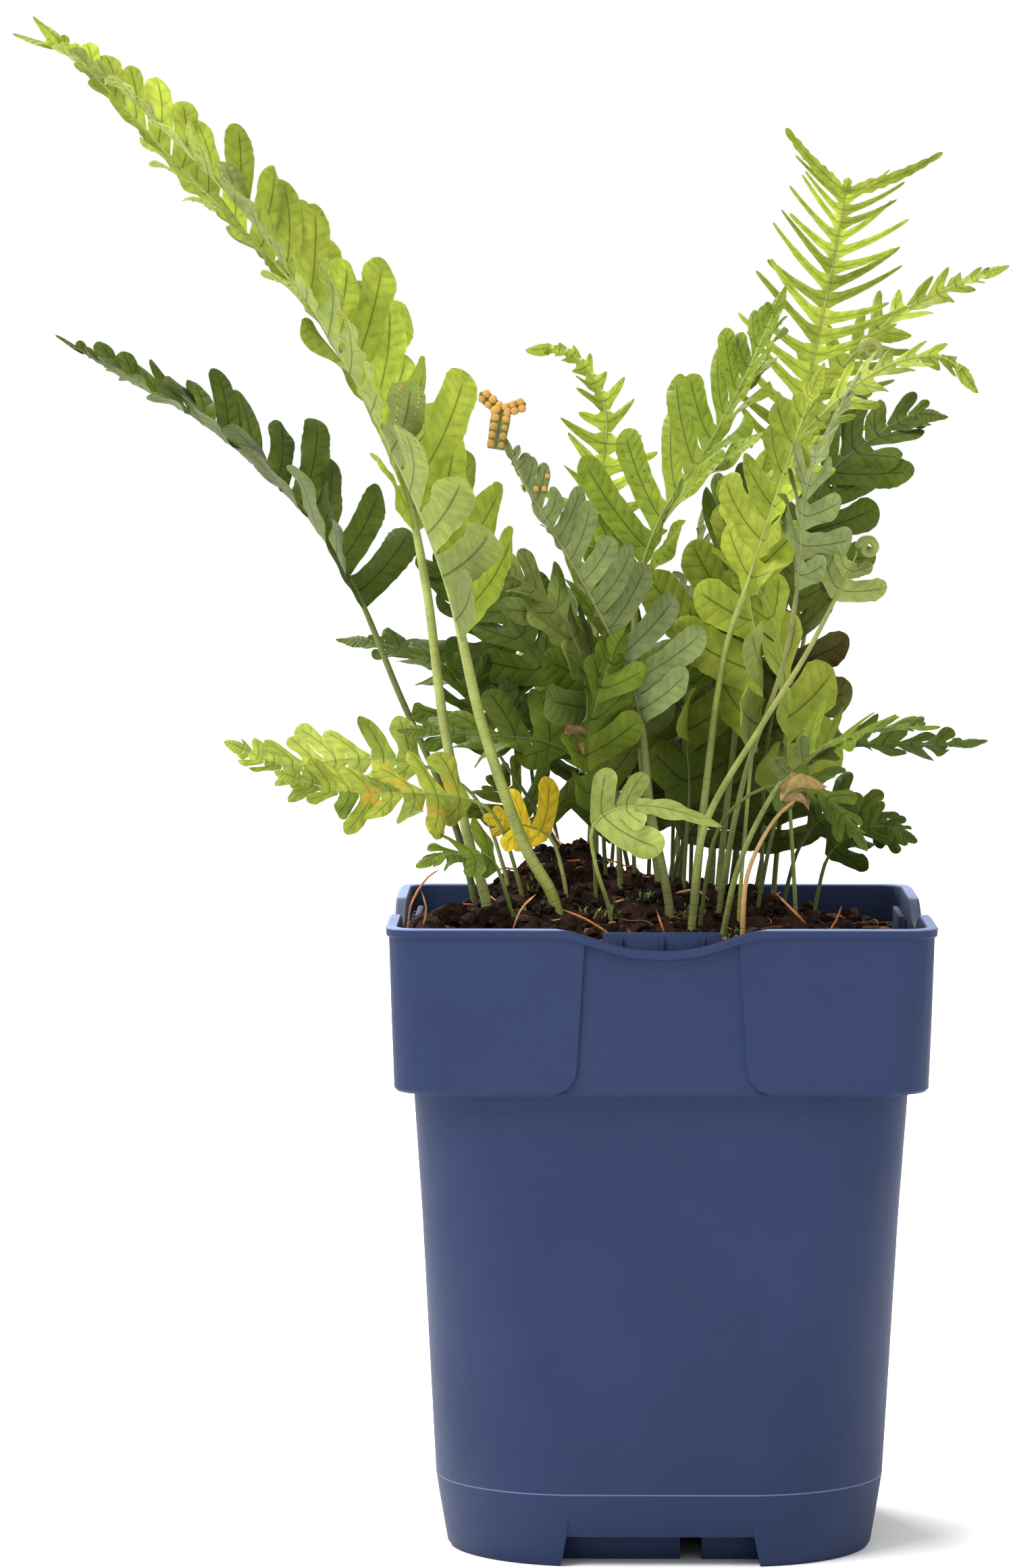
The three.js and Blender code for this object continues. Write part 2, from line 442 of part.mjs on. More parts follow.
// The foot: a hollow underside with an inner ring, a hub, slots, edge notches and drain holes.
function cutFoot(body) {
  const underHalf = INNER_FOOT_HALF + INNER_FOOT_THICK + 1;
  const hollow = block([-1, underHalf, BASE_CORNER - 3], [FLOOR_BOTTOM, underHalf + 1, BASE_CORNER - 2]);
  let pot = body.subtract(hollow);
  const ringCorner = BASE_CORNER - 5;
  const footRing = block([0, INNER_FOOT_HALF, ringCorner], [FLOOR_BOTTOM + 1, INNER_FOOT_HALF, ringCorner]);
  const footInner = INNER_FOOT_HALF - INNER_FOOT_THICK;
  const footHollow = block([-1, footInner, ringCorner - 2], [FLOOR_BOTTOM + 2, footInner, ringCorner - 2]);
  pot = pot.add(footRing.subtract(footHollow));
  pot = pot.add(toManifold(round(HUB_RADIUS, 0, FLOOR_BOTTOM + 1, 0, 0)));

  const gapLeft = INNER_GAP_CENTRE - INNER_GAP_WIDTH / 2;
  const gapRight = INNER_GAP_CENTRE + INNER_GAP_WIDTH / 2;
  const gap = slab([[gapLeft, -1], [gapRight, -1], [gapRight, FLOOR_BOTTOM], [gapLeft, FLOOR_BOTTOM]],
    -INNER_FOOT_HALF - 1, INNER_FOOT_HALF + 1);
  pot = pot.subtract(toManifold(gap));

  const slope = (FOOT_NOTCH_BOTTOM_HALF - FOOT_NOTCH_TOP_HALF) / FOOT_NOTCH_HEIGHT;
  const lowHalf = FOOT_NOTCH_BOTTOM_HALF + slope;
  const footNotch = slab([[-lowHalf, -1], [lowHalf, -1], [FOOT_NOTCH_TOP_HALF, FOOT_NOTCH_HEIGHT - 1],
    [-FOOT_NOTCH_TOP_HALF, FOOT_NOTCH_HEIGHT - 1]], -RIM_HALF, -underHalf - 0.5);
  for (const cut of onFourSides(footNotch)) pot = pot.subtract(cut);
  for (const x of [-DRAIN_PLACE, DRAIN_PLACE]) {
    for (const y of [-DRAIN_PLACE, DRAIN_PLACE]) {
      pot = pot.subtract(toManifold(round(DRAIN_RADIUS, FLOOR_BOTTOM - 1, FLOOR_TOP + 1, x, y)));
    }
  }
  return pot;
}

// The shallow centre panel of the collar, cut by a slab that leans outwards like the collar.
function panelCut() {
  const half = [[PANEL_TOP_HALF, BEAD_BOTTOM - 0.8], [PANEL_BOTTOM_HALF - 0.2, COLLAR_BOTTOM + PANEL_CORNER]];
  for (let i = 0; i <= PANEL_CORNER_STEPS; i += 1) {
    const angle = (i / PANEL_CORNER_STEPS) * Math.PI / 2;
    const x = PANEL_BOTTOM_HALF + PANEL_CORNER * (1 - Math.cos(angle));
    half.push([x, COLLAR_BOTTOM + PANEL_CORNER * (1 - Math.sin(angle)) - 1]);
  }
  const left = half.map(([x, z]) => [-x, z]);
  const recess = slab([...left, ...half.reverse()], -RIM_HALF - 4, 0);
  const collarLow = BODY_TOP_HALF + COLLAR_STEP;
  const lean = (RIM_HALF - RIM_BEAD_PROUD - collarLow) / (POT_HEIGHT - COLLAR_BOTTOM);
  const place = recess.getAttribute("position");
  for (let i = 0; i < place.count; i += 1) {
    if (place.getY(i) > -1) place.setY(i, PANEL_DEPTH - collarLow - lean * (place.getZ(i) - COLLAR_BOTTOM));
  }
  return recess;
}

// The curved dip in the rim and the lip that follows it.
function notchAndLip() {
  const notch = [];
  const lipTop = [];
  const lipLow = [];
  for (let i = 0; i <= NOTCH_STEPS; i += 1) {
    const x = mix(-NOTCH_HALF, NOTCH_HALF, i / NOTCH_STEPS);
    notch.push([x, POT_HEIGHT - dip(x)]);
    lipTop.push([x, POT_HEIGHT - 0.05 - dip(x)]);
    lipLow.push([x, BEAD_BOTTOM - dip(x) * (LIP_THICK / RIM_BEAD_HEIGHT) ** 0.3]);
  }
  notch.push([NOTCH_HALF, POT_HEIGHT + 3], [-NOTCH_HALF, POT_HEIGHT + 3]);
  const cut = slab(notch, -RIM_HALF - 3, -RIM_HALF + 3.2);
  const lip = slab(lipTop.concat(lipLow.reverse()), -RIM_HALF, -RIM_HALF + RIM_BEAD_PROUD + WALL);
  return { cut, lip };
}

const TAB_FRONT = TAB_SETBACK - MOUTH_HALF;

// The label tab behind the dip, with its ledge and ribs.
function tabPieces() {
  const tab = slab([[-TAB_HALF, TAB_BOTTOM], [TAB_HALF, TAB_BOTTOM], [TAB_HALF, TAB_TOP - TAB_CHAMFER],
    [TAB_TOP_HALF, TAB_TOP], [-TAB_TOP_HALF, TAB_TOP], [-TAB_HALF, TAB_TOP - TAB_CHAMFER]],
  TAB_FRONT, TAB_FRONT + TAB_THICK);
  const ledge = slab([[-TAB_HALF, TAB_BOTTOM], [TAB_HALF, TAB_BOTTOM], [TAB_HALF, TAB_BOTTOM + TAB_LEDGE],
    [-TAB_HALF, TAB_BOTTOM + TAB_LEDGE]], -insideHalf(TAB_BOTTOM)[0] - 0.5, TAB_FRONT + 0.4);
  const ribs = [-RIB_SPACING, 0, RIB_SPACING].map((place) => {
    const [left, right] = [place - RIB_WIDTH / 2, place + RIB_WIDTH / 2];
    const [low, high] = [TAB_TOP - RIB_LENGTH, TAB_TOP - 0.3];
    const outline = [[left, low], [right, low], [right, high], [left, high]];
    return slab(outline, TAB_FRONT - RIB_PROUD, TAB_FRONT + 0.3);
  });
  return [tab, ledge, ...ribs].flatMap(onFourSides);
}

function buildPot() {
  const outer = block(...OUTSIDE);
  const cavity = block(...INSIDE, [POT_HEIGHT + 2, MOUTH_HALF, MOUTH_CORNER]);
  let pot = cutFoot(outer.subtract(cavity));
  for (const cut of onFourSides(panelCut())) pot = pot.subtract(cut);
  const { cut: notchCut, lip } = notchAndLip();
  for (const cut of onFourSides(notchCut)) pot = pot.subtract(cut);
  for (const bar of onFourSides(lip)) pot = pot.add(bar);
  for (const piece of tabPieces()) pot = pot.add(piece);
  return pot;
}

// Height of the soil's surface at a place.
function soilHeight(x, y) {
  const hill = ([cx, cy, reach, rise]) =>
    rise * Math.exp(-((x - cx) ** 2 + (y - cy) ** 2) / (2 * reach ** 2));
  const hills = SOIL_HILLS.reduce((sum, row) => sum + hill(row), 0);
  const waves = 0.9 * Math.sin(x * 0.43 + 1.3) * Math.cos(y * 0.39 + 0.4);
  return SOIL_EDGE_LEVEL + hills + waves + 0.6 * Math.sin(x * 0.91 + y * 0.77);
}

function buildSoil(axes) {
  const clear = SOIL_GAP + 0.1;
  const rings = [];
  for (const level of [FLOOR_TOP, PARTING_LEVEL, BODY_MIDDLE_LEVEL, LEDGE_LEVEL, COLLAR_BOTTOM + 1]) {
    const [half, corner] = insideHalf(level);
    rings.push(ringAt(level + SOIL_GAP, half - clear, corner - SOIL_GAP));
  }
  const [half, corner] = insideHalf(SOIL_EDGE_LEVEL - 3);
  for (let ring = 0; ring < SOIL_RINGS; ring += 1) {
    const share = 1 - ring / SOIL_RINGS;
    const reach = (half - clear) * share;
    const flat = ringAt(0, reach, mix(reach, (corner - SOIL_GAP) * share, share ** 3));
    rings.push(flat.map(([x, y]) => [x, y, soilHeight(x, y)]));
  }
  let soil = toManifold(loft(rings));
  const wide = TAB_HALF + SOIL_GAP;
  const pocketLow = TAB_BOTTOM - SOIL_GAP;
  const pocketHigh = POT_HEIGHT + 9;
  const pocket = slab([[-wide, pocketLow], [wide, pocketLow], [wide, pocketHigh], [-wide, pocketHigh]],
    -RIM_HALF, TAB_FRONT + TAB_THICK + SOIL_GAP);
  for (const cut of onFourSides(pocket)) soil = soil.subtract(cut);
  for (const axis of axes) soil = soil.subtract(holeFor(axis));
  return soil;
}

// The plain hole in which a stem stands.
function holeFor(axis) {
  const reach = (axis.frond.radius + HOLE_CLEAR) / Math.cos(Math.PI / HOLE_STEPS);
  const length = ROOT_DEPTH + HOLE_CLEAR + HOLE_ABOVE;
  const geometry = new THREE.CylinderGeometry(reach, reach, length, HOLE_STEPS);
  geometry.translate(0, length / 2, 0);
  geometry.applyQuaternion(new THREE.Quaternion().setFromUnitVectors(new THREE.Vector3(0, 1, 0), axis.lean));
  const bottom = axis.under.clone().addScaledVector(axis.lean, -HOLE_CLEAR);
  geometry.translate(bottom.x, bottom.y, bottom.z);
  return toManifold(geometry);
}

// A smooth line through points, sampled evenly along its length.
class Line {
  constructor(points, startDirection) {
    const before = points[0].clone().addScaledVector(startDirection, -points[0].distanceTo(points[1]));
    const all = [before, ...points];
    const n = all.length;
    all.push(all[n - 1].clone().multiplyScalar(2).sub(all[n - 2]));
    this.samples = [];
    const fine = 12;
    for (let i = 1; i + 2 < all.length; i += 1) {
      for (let j = 0; j < fine; j += 1) this.samples.push(Line.blend(all, i, j / fine));
    }
    this.samples.push(all[all.length - 2].clone());
    this.lengths = [0];
    for (let i = 1; i < this.samples.length; i += 1) {
      this.lengths.push(this.lengths[i - 1] + this.samples[i].distanceTo(this.samples[i - 1]));
    }
    this.total = this.lengths[this.lengths.length - 1];
  }

  static blend(p, i, t) {
    const out = new THREE.Vector3();
    const weights = [
      -0.5 * t + t * t - 0.5 * t ** 3, 1 - 2.5 * t * t + 1.5 * t ** 3,
      0.5 * t + 2 * t * t - 1.5 * t ** 3, -0.5 * t * t + 0.5 * t ** 3,
    ];
    weights.forEach((w, k) => out.addScaledVector(p[i - 1 + k], w));
    return out;
  }

  at(share) {
    const target = Math.min(1, Math.max(0, share)) * this.total;
    let i = 1;
    while (i < this.lengths.length - 1 && this.lengths[i] < target) i += 1;
    const t = (target - this.lengths[i - 1]) / (this.lengths[i] - this.lengths[i - 1]);
    return this.samples[i - 1].clone().lerp(this.samples[i], t);
  }

  tangent(share) {
    const step = 0.012;
    return this.at(share + step).sub(this.at(share - step)).normalize();
  }
}

// Share of the longest leaflet that the leaflet at share u of the blade has.
function leafletReach(u) {
  return Math.min(1, 0.72 + 1.2 * u) * (1 - u ** 2.4) ** 0.8 * 0.92 + 0.1;
}

// Share of the blade at which row k of the leaflets stands: rows draw together towards the tip.
function rowShare(k, pairs) {
  return 1 - (1 - k / pairs) ** ROW_SPREAD;
}

// Where a row of corners stands on the frond's line, and how it is turned there.
function rowFrame(frond, point, tangent, share = 0) {
  const face = vec(frond.baseFace ?? frond.face).lerp(vec(frond.face), share);
  const up = face.addScaledVector(tangent, -face.dot(tangent)).normalize();
  const side = new THREE.Vector3().crossVectors(tangent, up).normalize();
  return { point, tangent, up, side };
}

function ringOfStem(frame, radius) {
  const out = [];
  for (let i = 0; i < 6; i += 1) {
    const angle = i * Math.PI / 3;
    const point = frame.point.clone().addScaledVector(frame.up, radius * Math.cos(angle));
    out.push(point.addScaledVector(frame.side, radius * Math.sin(angle)));
  }
  return out;
}

function ringOfBlade(frame, radius, wing) {
  const { point, up, side } = frame;
  const flat = LEAF_THICK / 2;
  const corners = [[0, radius], [wing, flat], [wing, -flat], [0, -radius], [-wing, -flat], [-wing, flat]];
  return corners.map(([s, n]) => point.clone().addScaledVector(side, s).addScaledVector(up, n));
}

// The stem and midrib of a frond, as rings of six points.
function buildAxis(frond) {
  const root = new THREE.Vector3(frond.root[0], frond.root[1], soilHeight(frond.root[0], frond.root[1]));
  const toward = vec(frond.path[0]).sub(root);
  const lean = toward.clone().add(new THREE.Vector3(0, 0, toward.length() * 0.6)).normalize();
  const under = root.clone().addScaledVector(lean, -ROOT_DEPTH);
  const start = root.clone().addScaledVector(lean, ROOT_RISE);
  const line = new Line([start, ...frond.path.map(vec)], lean);
  const rings = [];
  const frames = [];
  const add = (frame, ring, kind) => {
    frames.push({ ...frame, kind });
    rings.push(ring);
  };
  const bareRows = Math.max(2, Math.round(line.total * frond.bare / STEM_ROW_LENGTH));
  const thin = (share) => frond.radius * mix(1, 0.5, share);
  add(rowFrame(frond, under, lean), ringOfStem(rowFrame(frond, under, lean), frond.radius), "under");
  for (let i = 0; i <= bareRows - (frond.pairs ? 1 : 0); i += 1) {
    const share = frond.bare * i / bareRows;
    const frame = rowFrame(frond, line.at(share), i ? line.tangent(share) : lean, share);
    add(frame, ringOfStem(frame, thin(share)), "stem");
  }
  const lobe = frond.lobe ?? 0.9 / (frond.pairs + 1);
  const bladeEnd = frond.bare + (1 - frond.bare) * (1 - lobe);
  const pitch = line.total * (bladeEnd - frond.bare) / Math.max(1, frond.pairs);
  for (let k = 0; k <= frond.pairs && frond.pairs; k += 1) {
    const along = rowShare(k, frond.pairs);
    const share = mix(frond.bare, bladeEnd, along);
    const frame = rowFrame(frond, line.at(share), line.tangent(share), share);
    const wing = WING_HALF * mix(1, WING_END_SHARE, along);
    add(frame, ringOfBlade(frame, Math.max(MIDRIB_MIN, thin(share)), wing), k < frond.pairs ? "pair" : "end");
  }
  if (frond.pairs && !frond.coil) {
    const half = mix(bladeEnd, 1, 0.5);
    const middle = rowFrame(frond, line.at(half), line.tangent(half), half);
    const room = 0.6 * line.total * (1 - bladeEnd);
    const lobeHalf = Math.min(0.36 * pitch, lobe > LONG_LOBE ? LONG_LOBE_HALF : LOBE_HALF, room);
    add(middle, ringOfBlade(middle, LOBE_RIB, lobeHalf), "lobe");
    const tip = rowFrame(frond, line.at(1), line.tangent(0.995), 1);
    add(tip, ringOfBlade(tip, TIP_RIB, TIP_HALF), "tip");
  }
  if (frond.coil) addCoil(frond, line, add);
  return { frond, under, lean, rings, frames };
}

function addCoil(frond, line, add) {
  const end = rowFrame(frond, line.at(1), line.tangent(1), 1);
  const inward = end.side;
  const centre = end.point.clone().addScaledVector(inward, frond.coil);
  const place = (t) => {
    const angle = COIL_TURNS * 2 * Math.PI * t;
    const reach = frond.coil * (1 - COIL_TIGHTENING * t);
    const out = centre.clone().addScaledVector(inward, -reach * Math.cos(angle));
    return out.addScaledVector(end.tangent, reach * Math.sin(angle));
  };
  for (let i = frond.pairs ? 0 : 1; i <= COIL_ROWS; i += 1) {
    const t = i / COIL_ROWS;
    const tangent = i ? place(t + 0.02).sub(place(t - 0.02)).normalize() : end.tangent;
    const side = new THREE.Vector3().crossVectors(tangent, end.up).normalize();
    const frame = { point: place(t), tangent, up: end.up.clone(), side };
    add(frame, ringOfStem(frame, mix(COIL_THICK, COIL_END_THICK, t)), "coil");
  }
}

// The four-point rings, at shares of its length, of one leaflet between two rows of the midrib.
function leafletRings(axis, k, side, bend, lengthShare, extra, shares = [1]) {
  const { frond, frames } = axis;
  const start = frames.findIndex((frame) => frame.kind === "pair") + k;
  const [near, far] = [frames[start], frames[start + 1]];
  const u = rowShare(k + 0.5, frond.pairs);
  const tangent = near.tangent.clone().add(far.tangent).normalize();
  const up = near.up.clone().add(far.up).normalize();
  const across = new THREE.Vector3().crossVectors(tangent, up).normalize().multiplyScalar(side);
  const forkEnd = frond.fork && k === frond.pairs - 1;
  const open = frond.sweep ?? BASE_SWEEP;
  const wild = frond.calm ? 1 : WILDNESS;
  const closing = (frond.close ?? CLOSING) * u;
  const sweep = rad(forkEnd ? FORK_SWEEP : open - closing + 8 * wild * Math.sin(k * 1.9 + side));
  const fold = rad(frond.fold + bend + 9 * wild * Math.sin(k * 1.3 + side * 0.7));
  const uneven = 1 + 0.13 * wild * Math.sin(k * 2.3 + side);
  const narrowing = frond.fork ? FORKED_NARROWING * u : u;
  const grown = frond.reach * leafletReach(narrowing) * uneven * (1 - (frond.taper ?? 0) * u);
  const length = (forkEnd ? frond.fork : grown) * lengthShare;
  const out = across.clone().multiplyScalar(Math.cos(fold)).addScaledVector(up, Math.sin(fold));
  const normal = up.clone().multiplyScalar(Math.cos(fold)).addScaledVector(across, -Math.sin(fold));
  const along = tangent.clone().multiplyScalar(Math.cos(sweep)).addScaledVector(out, Math.sin(sweep));
  const wide = tangent.clone().multiplyScalar(Math.sin(sweep)).addScaledVector(out, -Math.cos(sweep));
  const wing = WING_HALF * mix(1, WING_END_SHARE, u);
  const base = near.point.clone().add(far.point).multiplyScalar(0.5).addScaledVector(across, wing);
  const pitch = near.point.distanceTo(far.point);
  const breadth = pitch * Math.sin(sweep) * (frond.wide ?? 1) * (frond.narrow ?? 1);
  const thick = LEAF_THICK / 2 + extra;
  const curl = frond.curl * (1 + 0.9 * Math.sin(k * 2.7 + side * 1.4));
  const endHalf = forkEnd ? FORK_HALF : END_WIDTH * (frond.tapered ? TAPERED_SHARE : 1) * breadth;
  return shares.map((share) => {
    const half = mix(breadth / 2, endHalf, share);
    const bow = share * share * length;
    const centre = base.clone().addScaledVector(along, share * length + (share === 1 ? extra : 0));
    centre.addScaledVector(normal, curl * bow).addScaledVector(tangent, HOOK * bow);
    return [[-1, 1], [-1, -1], [1, -1], [1, 1]].map(([w, n]) =>
      centre.clone().addScaledVector(wide, w * (half + extra)).addScaledVector(normal, n * thick));
  });
}

const LEFT = 1;
const RIGHT = -1;

// Splits a four-sided face, along its first or its second diagonal.
function splitFace(a, b, c, d, second) {
  return second ? [[a, b, d], [b, c, d]] : [[a, b, c], [a, c, d]];
}

// Joins rings, leaflets and ends into one closed body.
function assemble(axis, leaflets) {
  const positions = [];
  const triangles = [];
  const indexOf = (points) => points.map((p) => positions.push([p.x, p.y, p.z]) - 1);
  const rings = axis.rings.map(indexOf);
  const firstPair = axis.frames.findIndex((frame) => frame.kind === "pair");
  for (let row = 0; row + 1 < rings.length; row += 1) {
    const [a, b] = [rings[row], rings[row + 1]];
    for (let i = 0; i < 6; i += 1) {
      const next = (i + 1) % 6;
      const side = i === 1 ? LEFT : RIGHT;
      const canGrow = (i === 1 || i === 4) && axis.frames[row].kind === "pair";
      const leaflet = canGrow ? leaflets.get(`${row - firstPair}:${side}`) : null;
      if (!leaflet) {
        triangles.push(...splitFace(a[i], a[next], b[next], b[i], i === 2 || i === 3));
        continue;
      }
      let loop = side === LEFT ? [a[1], a[2], b[2], b[1]] : [a[4], a[5], b[5], b[4]];
      for (const ring of leaflet) {
        const [nearTop, nearLow, farLow, farTop] = indexOf(ring);
        const outer = side === LEFT ? [nearTop, nearLow, farLow, farTop] : [nearLow, nearTop, farTop, farLow];
        for (let e = 0; e < 4; e += 1) {
          const f = (e + 1) % 4;
          triangles.push(...splitFace(loop[e], loop[f], outer[f], outer[e], e === 3));
        }
        loop = outer;
      }
      triangles.push(...splitFace(...loop, false));
    }
  }
  const first = rings[0];
  const last = rings[rings.length - 1];
  for (let i = 1; i < 5; i += 1) {
    triangles.push([first[0], first[i + 1], first[i]], [last[0], last[i], last[i + 1]]);
  }
  return meshFrom(positions, outward(positions, triangles));
}

// Turns all faces round when the body came out inside out.
function outward(positions, triangles) {
  let volume = 0;
  for (const [a, b, c] of triangles) {
    volume += vec(positions[a]).dot(vec(positions[b]).cross(vec(positions[c])));
  }
  return volume > 0 ? triangles : triangles.map(([a, b, c]) => [a, c, b]);
}

function trianglesOf(geometry) {
  const out = [];
  const p = geometry.getAttribute("position");
  const index = geometry.index;
  for (let i = 0; i < index.count; i += 3) {
    out.push([0, 1, 2].map((k) => new THREE.Vector3().fromBufferAttribute(p, index.getX(i + k))));
  }
  return out;
}

// The sides and the outer end of a box between two rings of four corners
const BOX_TRIANGLES = [
  [0, 1, 5], [0, 5, 4], [1, 2, 6], [1, 6, 5], [2, 3, 7], [2, 7, 6], [3, 0, 4], [3, 4, 7], [4, 5, 6], [4, 6, 7],
];

function trianglesOfRings(rings) {
  const out = [];
  for (let r = 0; r + 1 < rings.length; r += 1) {
    const p = [...rings[r], ...rings[r + 1]];
    for (const [a, b, c] of BOX_TRIANGLES) out.push([p[a], p[b], p[c]]);
  }
  return out;
}

function segmentHits(p, q, [a, b, c]) {
  const direction = q.clone().sub(p);
  const e1 = b.clone().sub(a);
  const e2 = c.clone().sub(a);
  const h = new THREE.Vector3().crossVectors(direction, e2);
  const det = e1.dot(h);
  if (Math.abs(det) < 1e-9) return false;
  const s = p.clone().sub(a);
  const u = s.dot(h) / det;
  if (u < 0 || u > 1) return false;
  const n = new THREE.Vector3().crossVectors(s, e1);
  const v = direction.dot(n) / det;
  if (v < 0 || u + v > 1) return false;
  const t = e2.dot(n) / det;
  return t >= 0 && t <= 1;
}

function trianglesCross(s, t) {
  for (let i = 0; i < 3; i += 1) {
    if (segmentHits(s[i], s[(i + 1) % 3], t) || segmentHits(t[i], t[(i + 1) % 3], s)) return true;
  }
  return false;
}

// Triangles already placed, kept by the cells of a grid that they touch.
class Crowd {
  constructor() {
    this.cells = new Map();
  }

  static keys(triangle) {
    const box = new THREE.Box3().setFromPoints(triangle);
    const low = box.min.divideScalar(GRID_CELL).floor();
    const high = box.max.divideScalar(GRID_CELL).floor();
    const keys = [];
    for (let x = low.x; x <= high.x; x += 1) {
      for (let y = low.y; y <= high.y; y += 1) {
        for (let z = low.z; z <= high.z; z += 1) keys.push(`${x},${y},${z}`);
      }
    }
    return keys;
  }

  add(triangles, owner) {
    for (const triangle of triangles) {
      const entry = { triangle, owner, box: new THREE.Box3().setFromPoints(triangle) };
      for (const key of Crowd.keys(triangle)) {
        if (!this.cells.has(key)) this.cells.set(key, []);
        this.cells.get(key).push(entry);
      }
    }
  }

  crosses(triangles, owner) {
    return triangles.some((triangle) => {
      const box = new THREE.Box3().setFromPoints(triangle);
      return Crowd.keys(triangle).some((key) => (this.cells.get(key) ?? []).some((entry) =>
        entry.owner !== owner && entry.box.intersectsBox(box) && trianglesCross(entry.triangle, triangle)));
    });
  }
}

// Leaflets that would cross something are bent clear, then shortened, then left out.
function placeLeaflets(axis, crowd) {
  const leaflets = new Map();
  const own = new Crowd();
  const { frond } = axis;
  for (let k = 0; k < frond.pairs; k += 1) {
    for (const side of [LEFT, RIGHT]) {
      const first = axis.frames.findIndex((frame) => frame.kind === "pair") + k;
      const row = axis.rings[first];
      const next = axis.rings[first + 1];
      const base = side === LEFT ? [row[1], row[2], next[2], next[1]] : [row[5], row[4], next[4], next[5]];
      search:
      for (const lengthShare of LENGTH_STEPS) {
        for (const bend of BEND_STEPS) {
          const grown = leafletRings(axis, k, side, bend, lengthShare, LEAF_CLEAR);
          if (crowd.crosses(trianglesOfRings([base, ...grown]), frond.name)) continue;
          const outerRings = leafletRings(axis, k, side, bend, lengthShare, 0, [TOUCHING_SHARE, 1]);
          const outer = trianglesOfRings(outerRings);
          if (own.crosses(outer, null)) continue;
          own.add(outer, frond.name);
          const rings = leafletRings(axis, k, side, bend, lengthShare, 0);
          leaflets.set(`${k}:${side}`, rings);
          crowd.add(trianglesOfRings([base, ...rings]), frond.name);
          break search;
        }
      }
    }
  }
  return leaflets;
}

function named(name, geometry, colour, roughness) {
  const flat = geometry.index ? geometry.toNonIndexed() : geometry;
  flat.computeVertexNormals();
  const material = new THREE.MeshStandardMaterial({ color: colour, roughness, metalness: 0 });
  material.name = name;
  const mesh = new THREE.Mesh(flat, material);
  mesh.name = name;
  return mesh;
}

const group = new THREE.Group();
group.name = "potted_polypody";
const axes = FRONDS.map(buildAxis);
const potGeometry = toGeometry(buildPot());
const soilGeometry = toGeometry(buildSoil(axes));
group.add(named("pot", potGeometry, 0x2c3a66, 0.55));
group.add(named("soil", soilGeometry, 0x2b1c12, 0.95));

const crowd = new Crowd();
crowd.add(trianglesOf(potGeometry), "pot");
crowd.add(trianglesOf(soilGeometry), "soil");
for (const axis of axes) crowd.add(trianglesOf(assemble(axis, new Map())), axis.frond.name);
for (const axis of axes) {
  const leaflets = placeLeaflets(axis, crowd);
  group.add(named(axis.frond.name, assemble(axis, leaflets), TONES[axis.frond.tone], 0.6));
}

export default group;
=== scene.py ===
"""Potted common polypody: the finished surfaces of the fern, its soil and its square nursery pot."""
import math
import random

import bmesh
import bpy
from mathutils import Matrix, Vector, noise
from mathutils.bvhtree import BVHTree


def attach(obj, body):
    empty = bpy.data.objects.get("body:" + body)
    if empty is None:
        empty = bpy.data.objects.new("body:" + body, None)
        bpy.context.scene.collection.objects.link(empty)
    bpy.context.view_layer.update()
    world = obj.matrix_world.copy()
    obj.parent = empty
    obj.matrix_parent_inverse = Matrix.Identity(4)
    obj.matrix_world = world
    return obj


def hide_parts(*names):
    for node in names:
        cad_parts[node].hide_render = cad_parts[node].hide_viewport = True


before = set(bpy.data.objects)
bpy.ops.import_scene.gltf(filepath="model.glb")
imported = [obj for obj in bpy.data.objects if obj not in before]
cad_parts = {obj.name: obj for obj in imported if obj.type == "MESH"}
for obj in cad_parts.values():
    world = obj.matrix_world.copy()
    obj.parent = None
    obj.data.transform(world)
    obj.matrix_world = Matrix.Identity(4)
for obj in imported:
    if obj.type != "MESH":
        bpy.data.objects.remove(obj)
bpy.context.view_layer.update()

bl_info = {
    "name": "Potted Polypody",
    "version": (1, 0, 0),
    "blender": (4, 5, 0),
    "location": "3D View > Sidebar > Polypody",
    "description": "Builds a fern with long cut fronds in a square nursery pot",
    "category": "Add Mesh",
}

MM = 0.001
FULL_TURN = 2 * math.pi
# The end of a random turn's range, just past a full one
ANY_TURN = 6.3
WHITE = (1.0, 1.0, 1.0, 1.0)

# Pot, in millimetres
POT_HEIGHT = 130.0
RIM_HALF = 55.0
RIM_BEAD = 0.6
COLLAR_BOTTOM = 97.0
COLLAR_HALF = 53.5
WALL = 1.8
FLOOR_TOP = 7.0
FLOOR_BOTTOM = 5.0
PARTING_LEVEL = 15.0
PANEL_TOP_HALF = 15.0
PANEL_BOTTOM_HALF = 17.0
PANEL_DEPTH = 0.75
PANEL_CORNER = 4.5
NOTCH_HALF = 22.0
NOTCH_DEPTH = 4.4
FOOT_NOTCH_TOP_HALF = 18.4
FOOT_NOTCH_BOTTOM_HALF = 19.9
FOOT_NOTCH_HEIGHT = 6.0
FOOT_NOTCH_TOP = FOOT_NOTCH_HEIGHT + 1
INNER_FOOT_HALF = 35.0
INNER_FOOT_THICK = 1.8
INNER_GAP_CENTRE = 6.3
INNER_GAP_WIDTH = 4.3
TAB_HALF = 12.9
TAB_TOP = 128.9
TAB_BOTTOM = 113.0
TAB_THICK = 1.2
TAB_FRONT = 50.2
TAB_CHAMFER = 1.4
LEDGE_FRONT = 52.3
LEDGE_THICK = 1.6
RIB_SPACING = 8.2
RIB_HALF = 0.4
RIB_DEPTH = 0.9
RIB_LENGTH = 6.0
HUB_RADIUS = 3.9
# How far the hub and the inner foot run up into the floor
SUNK = 0.5
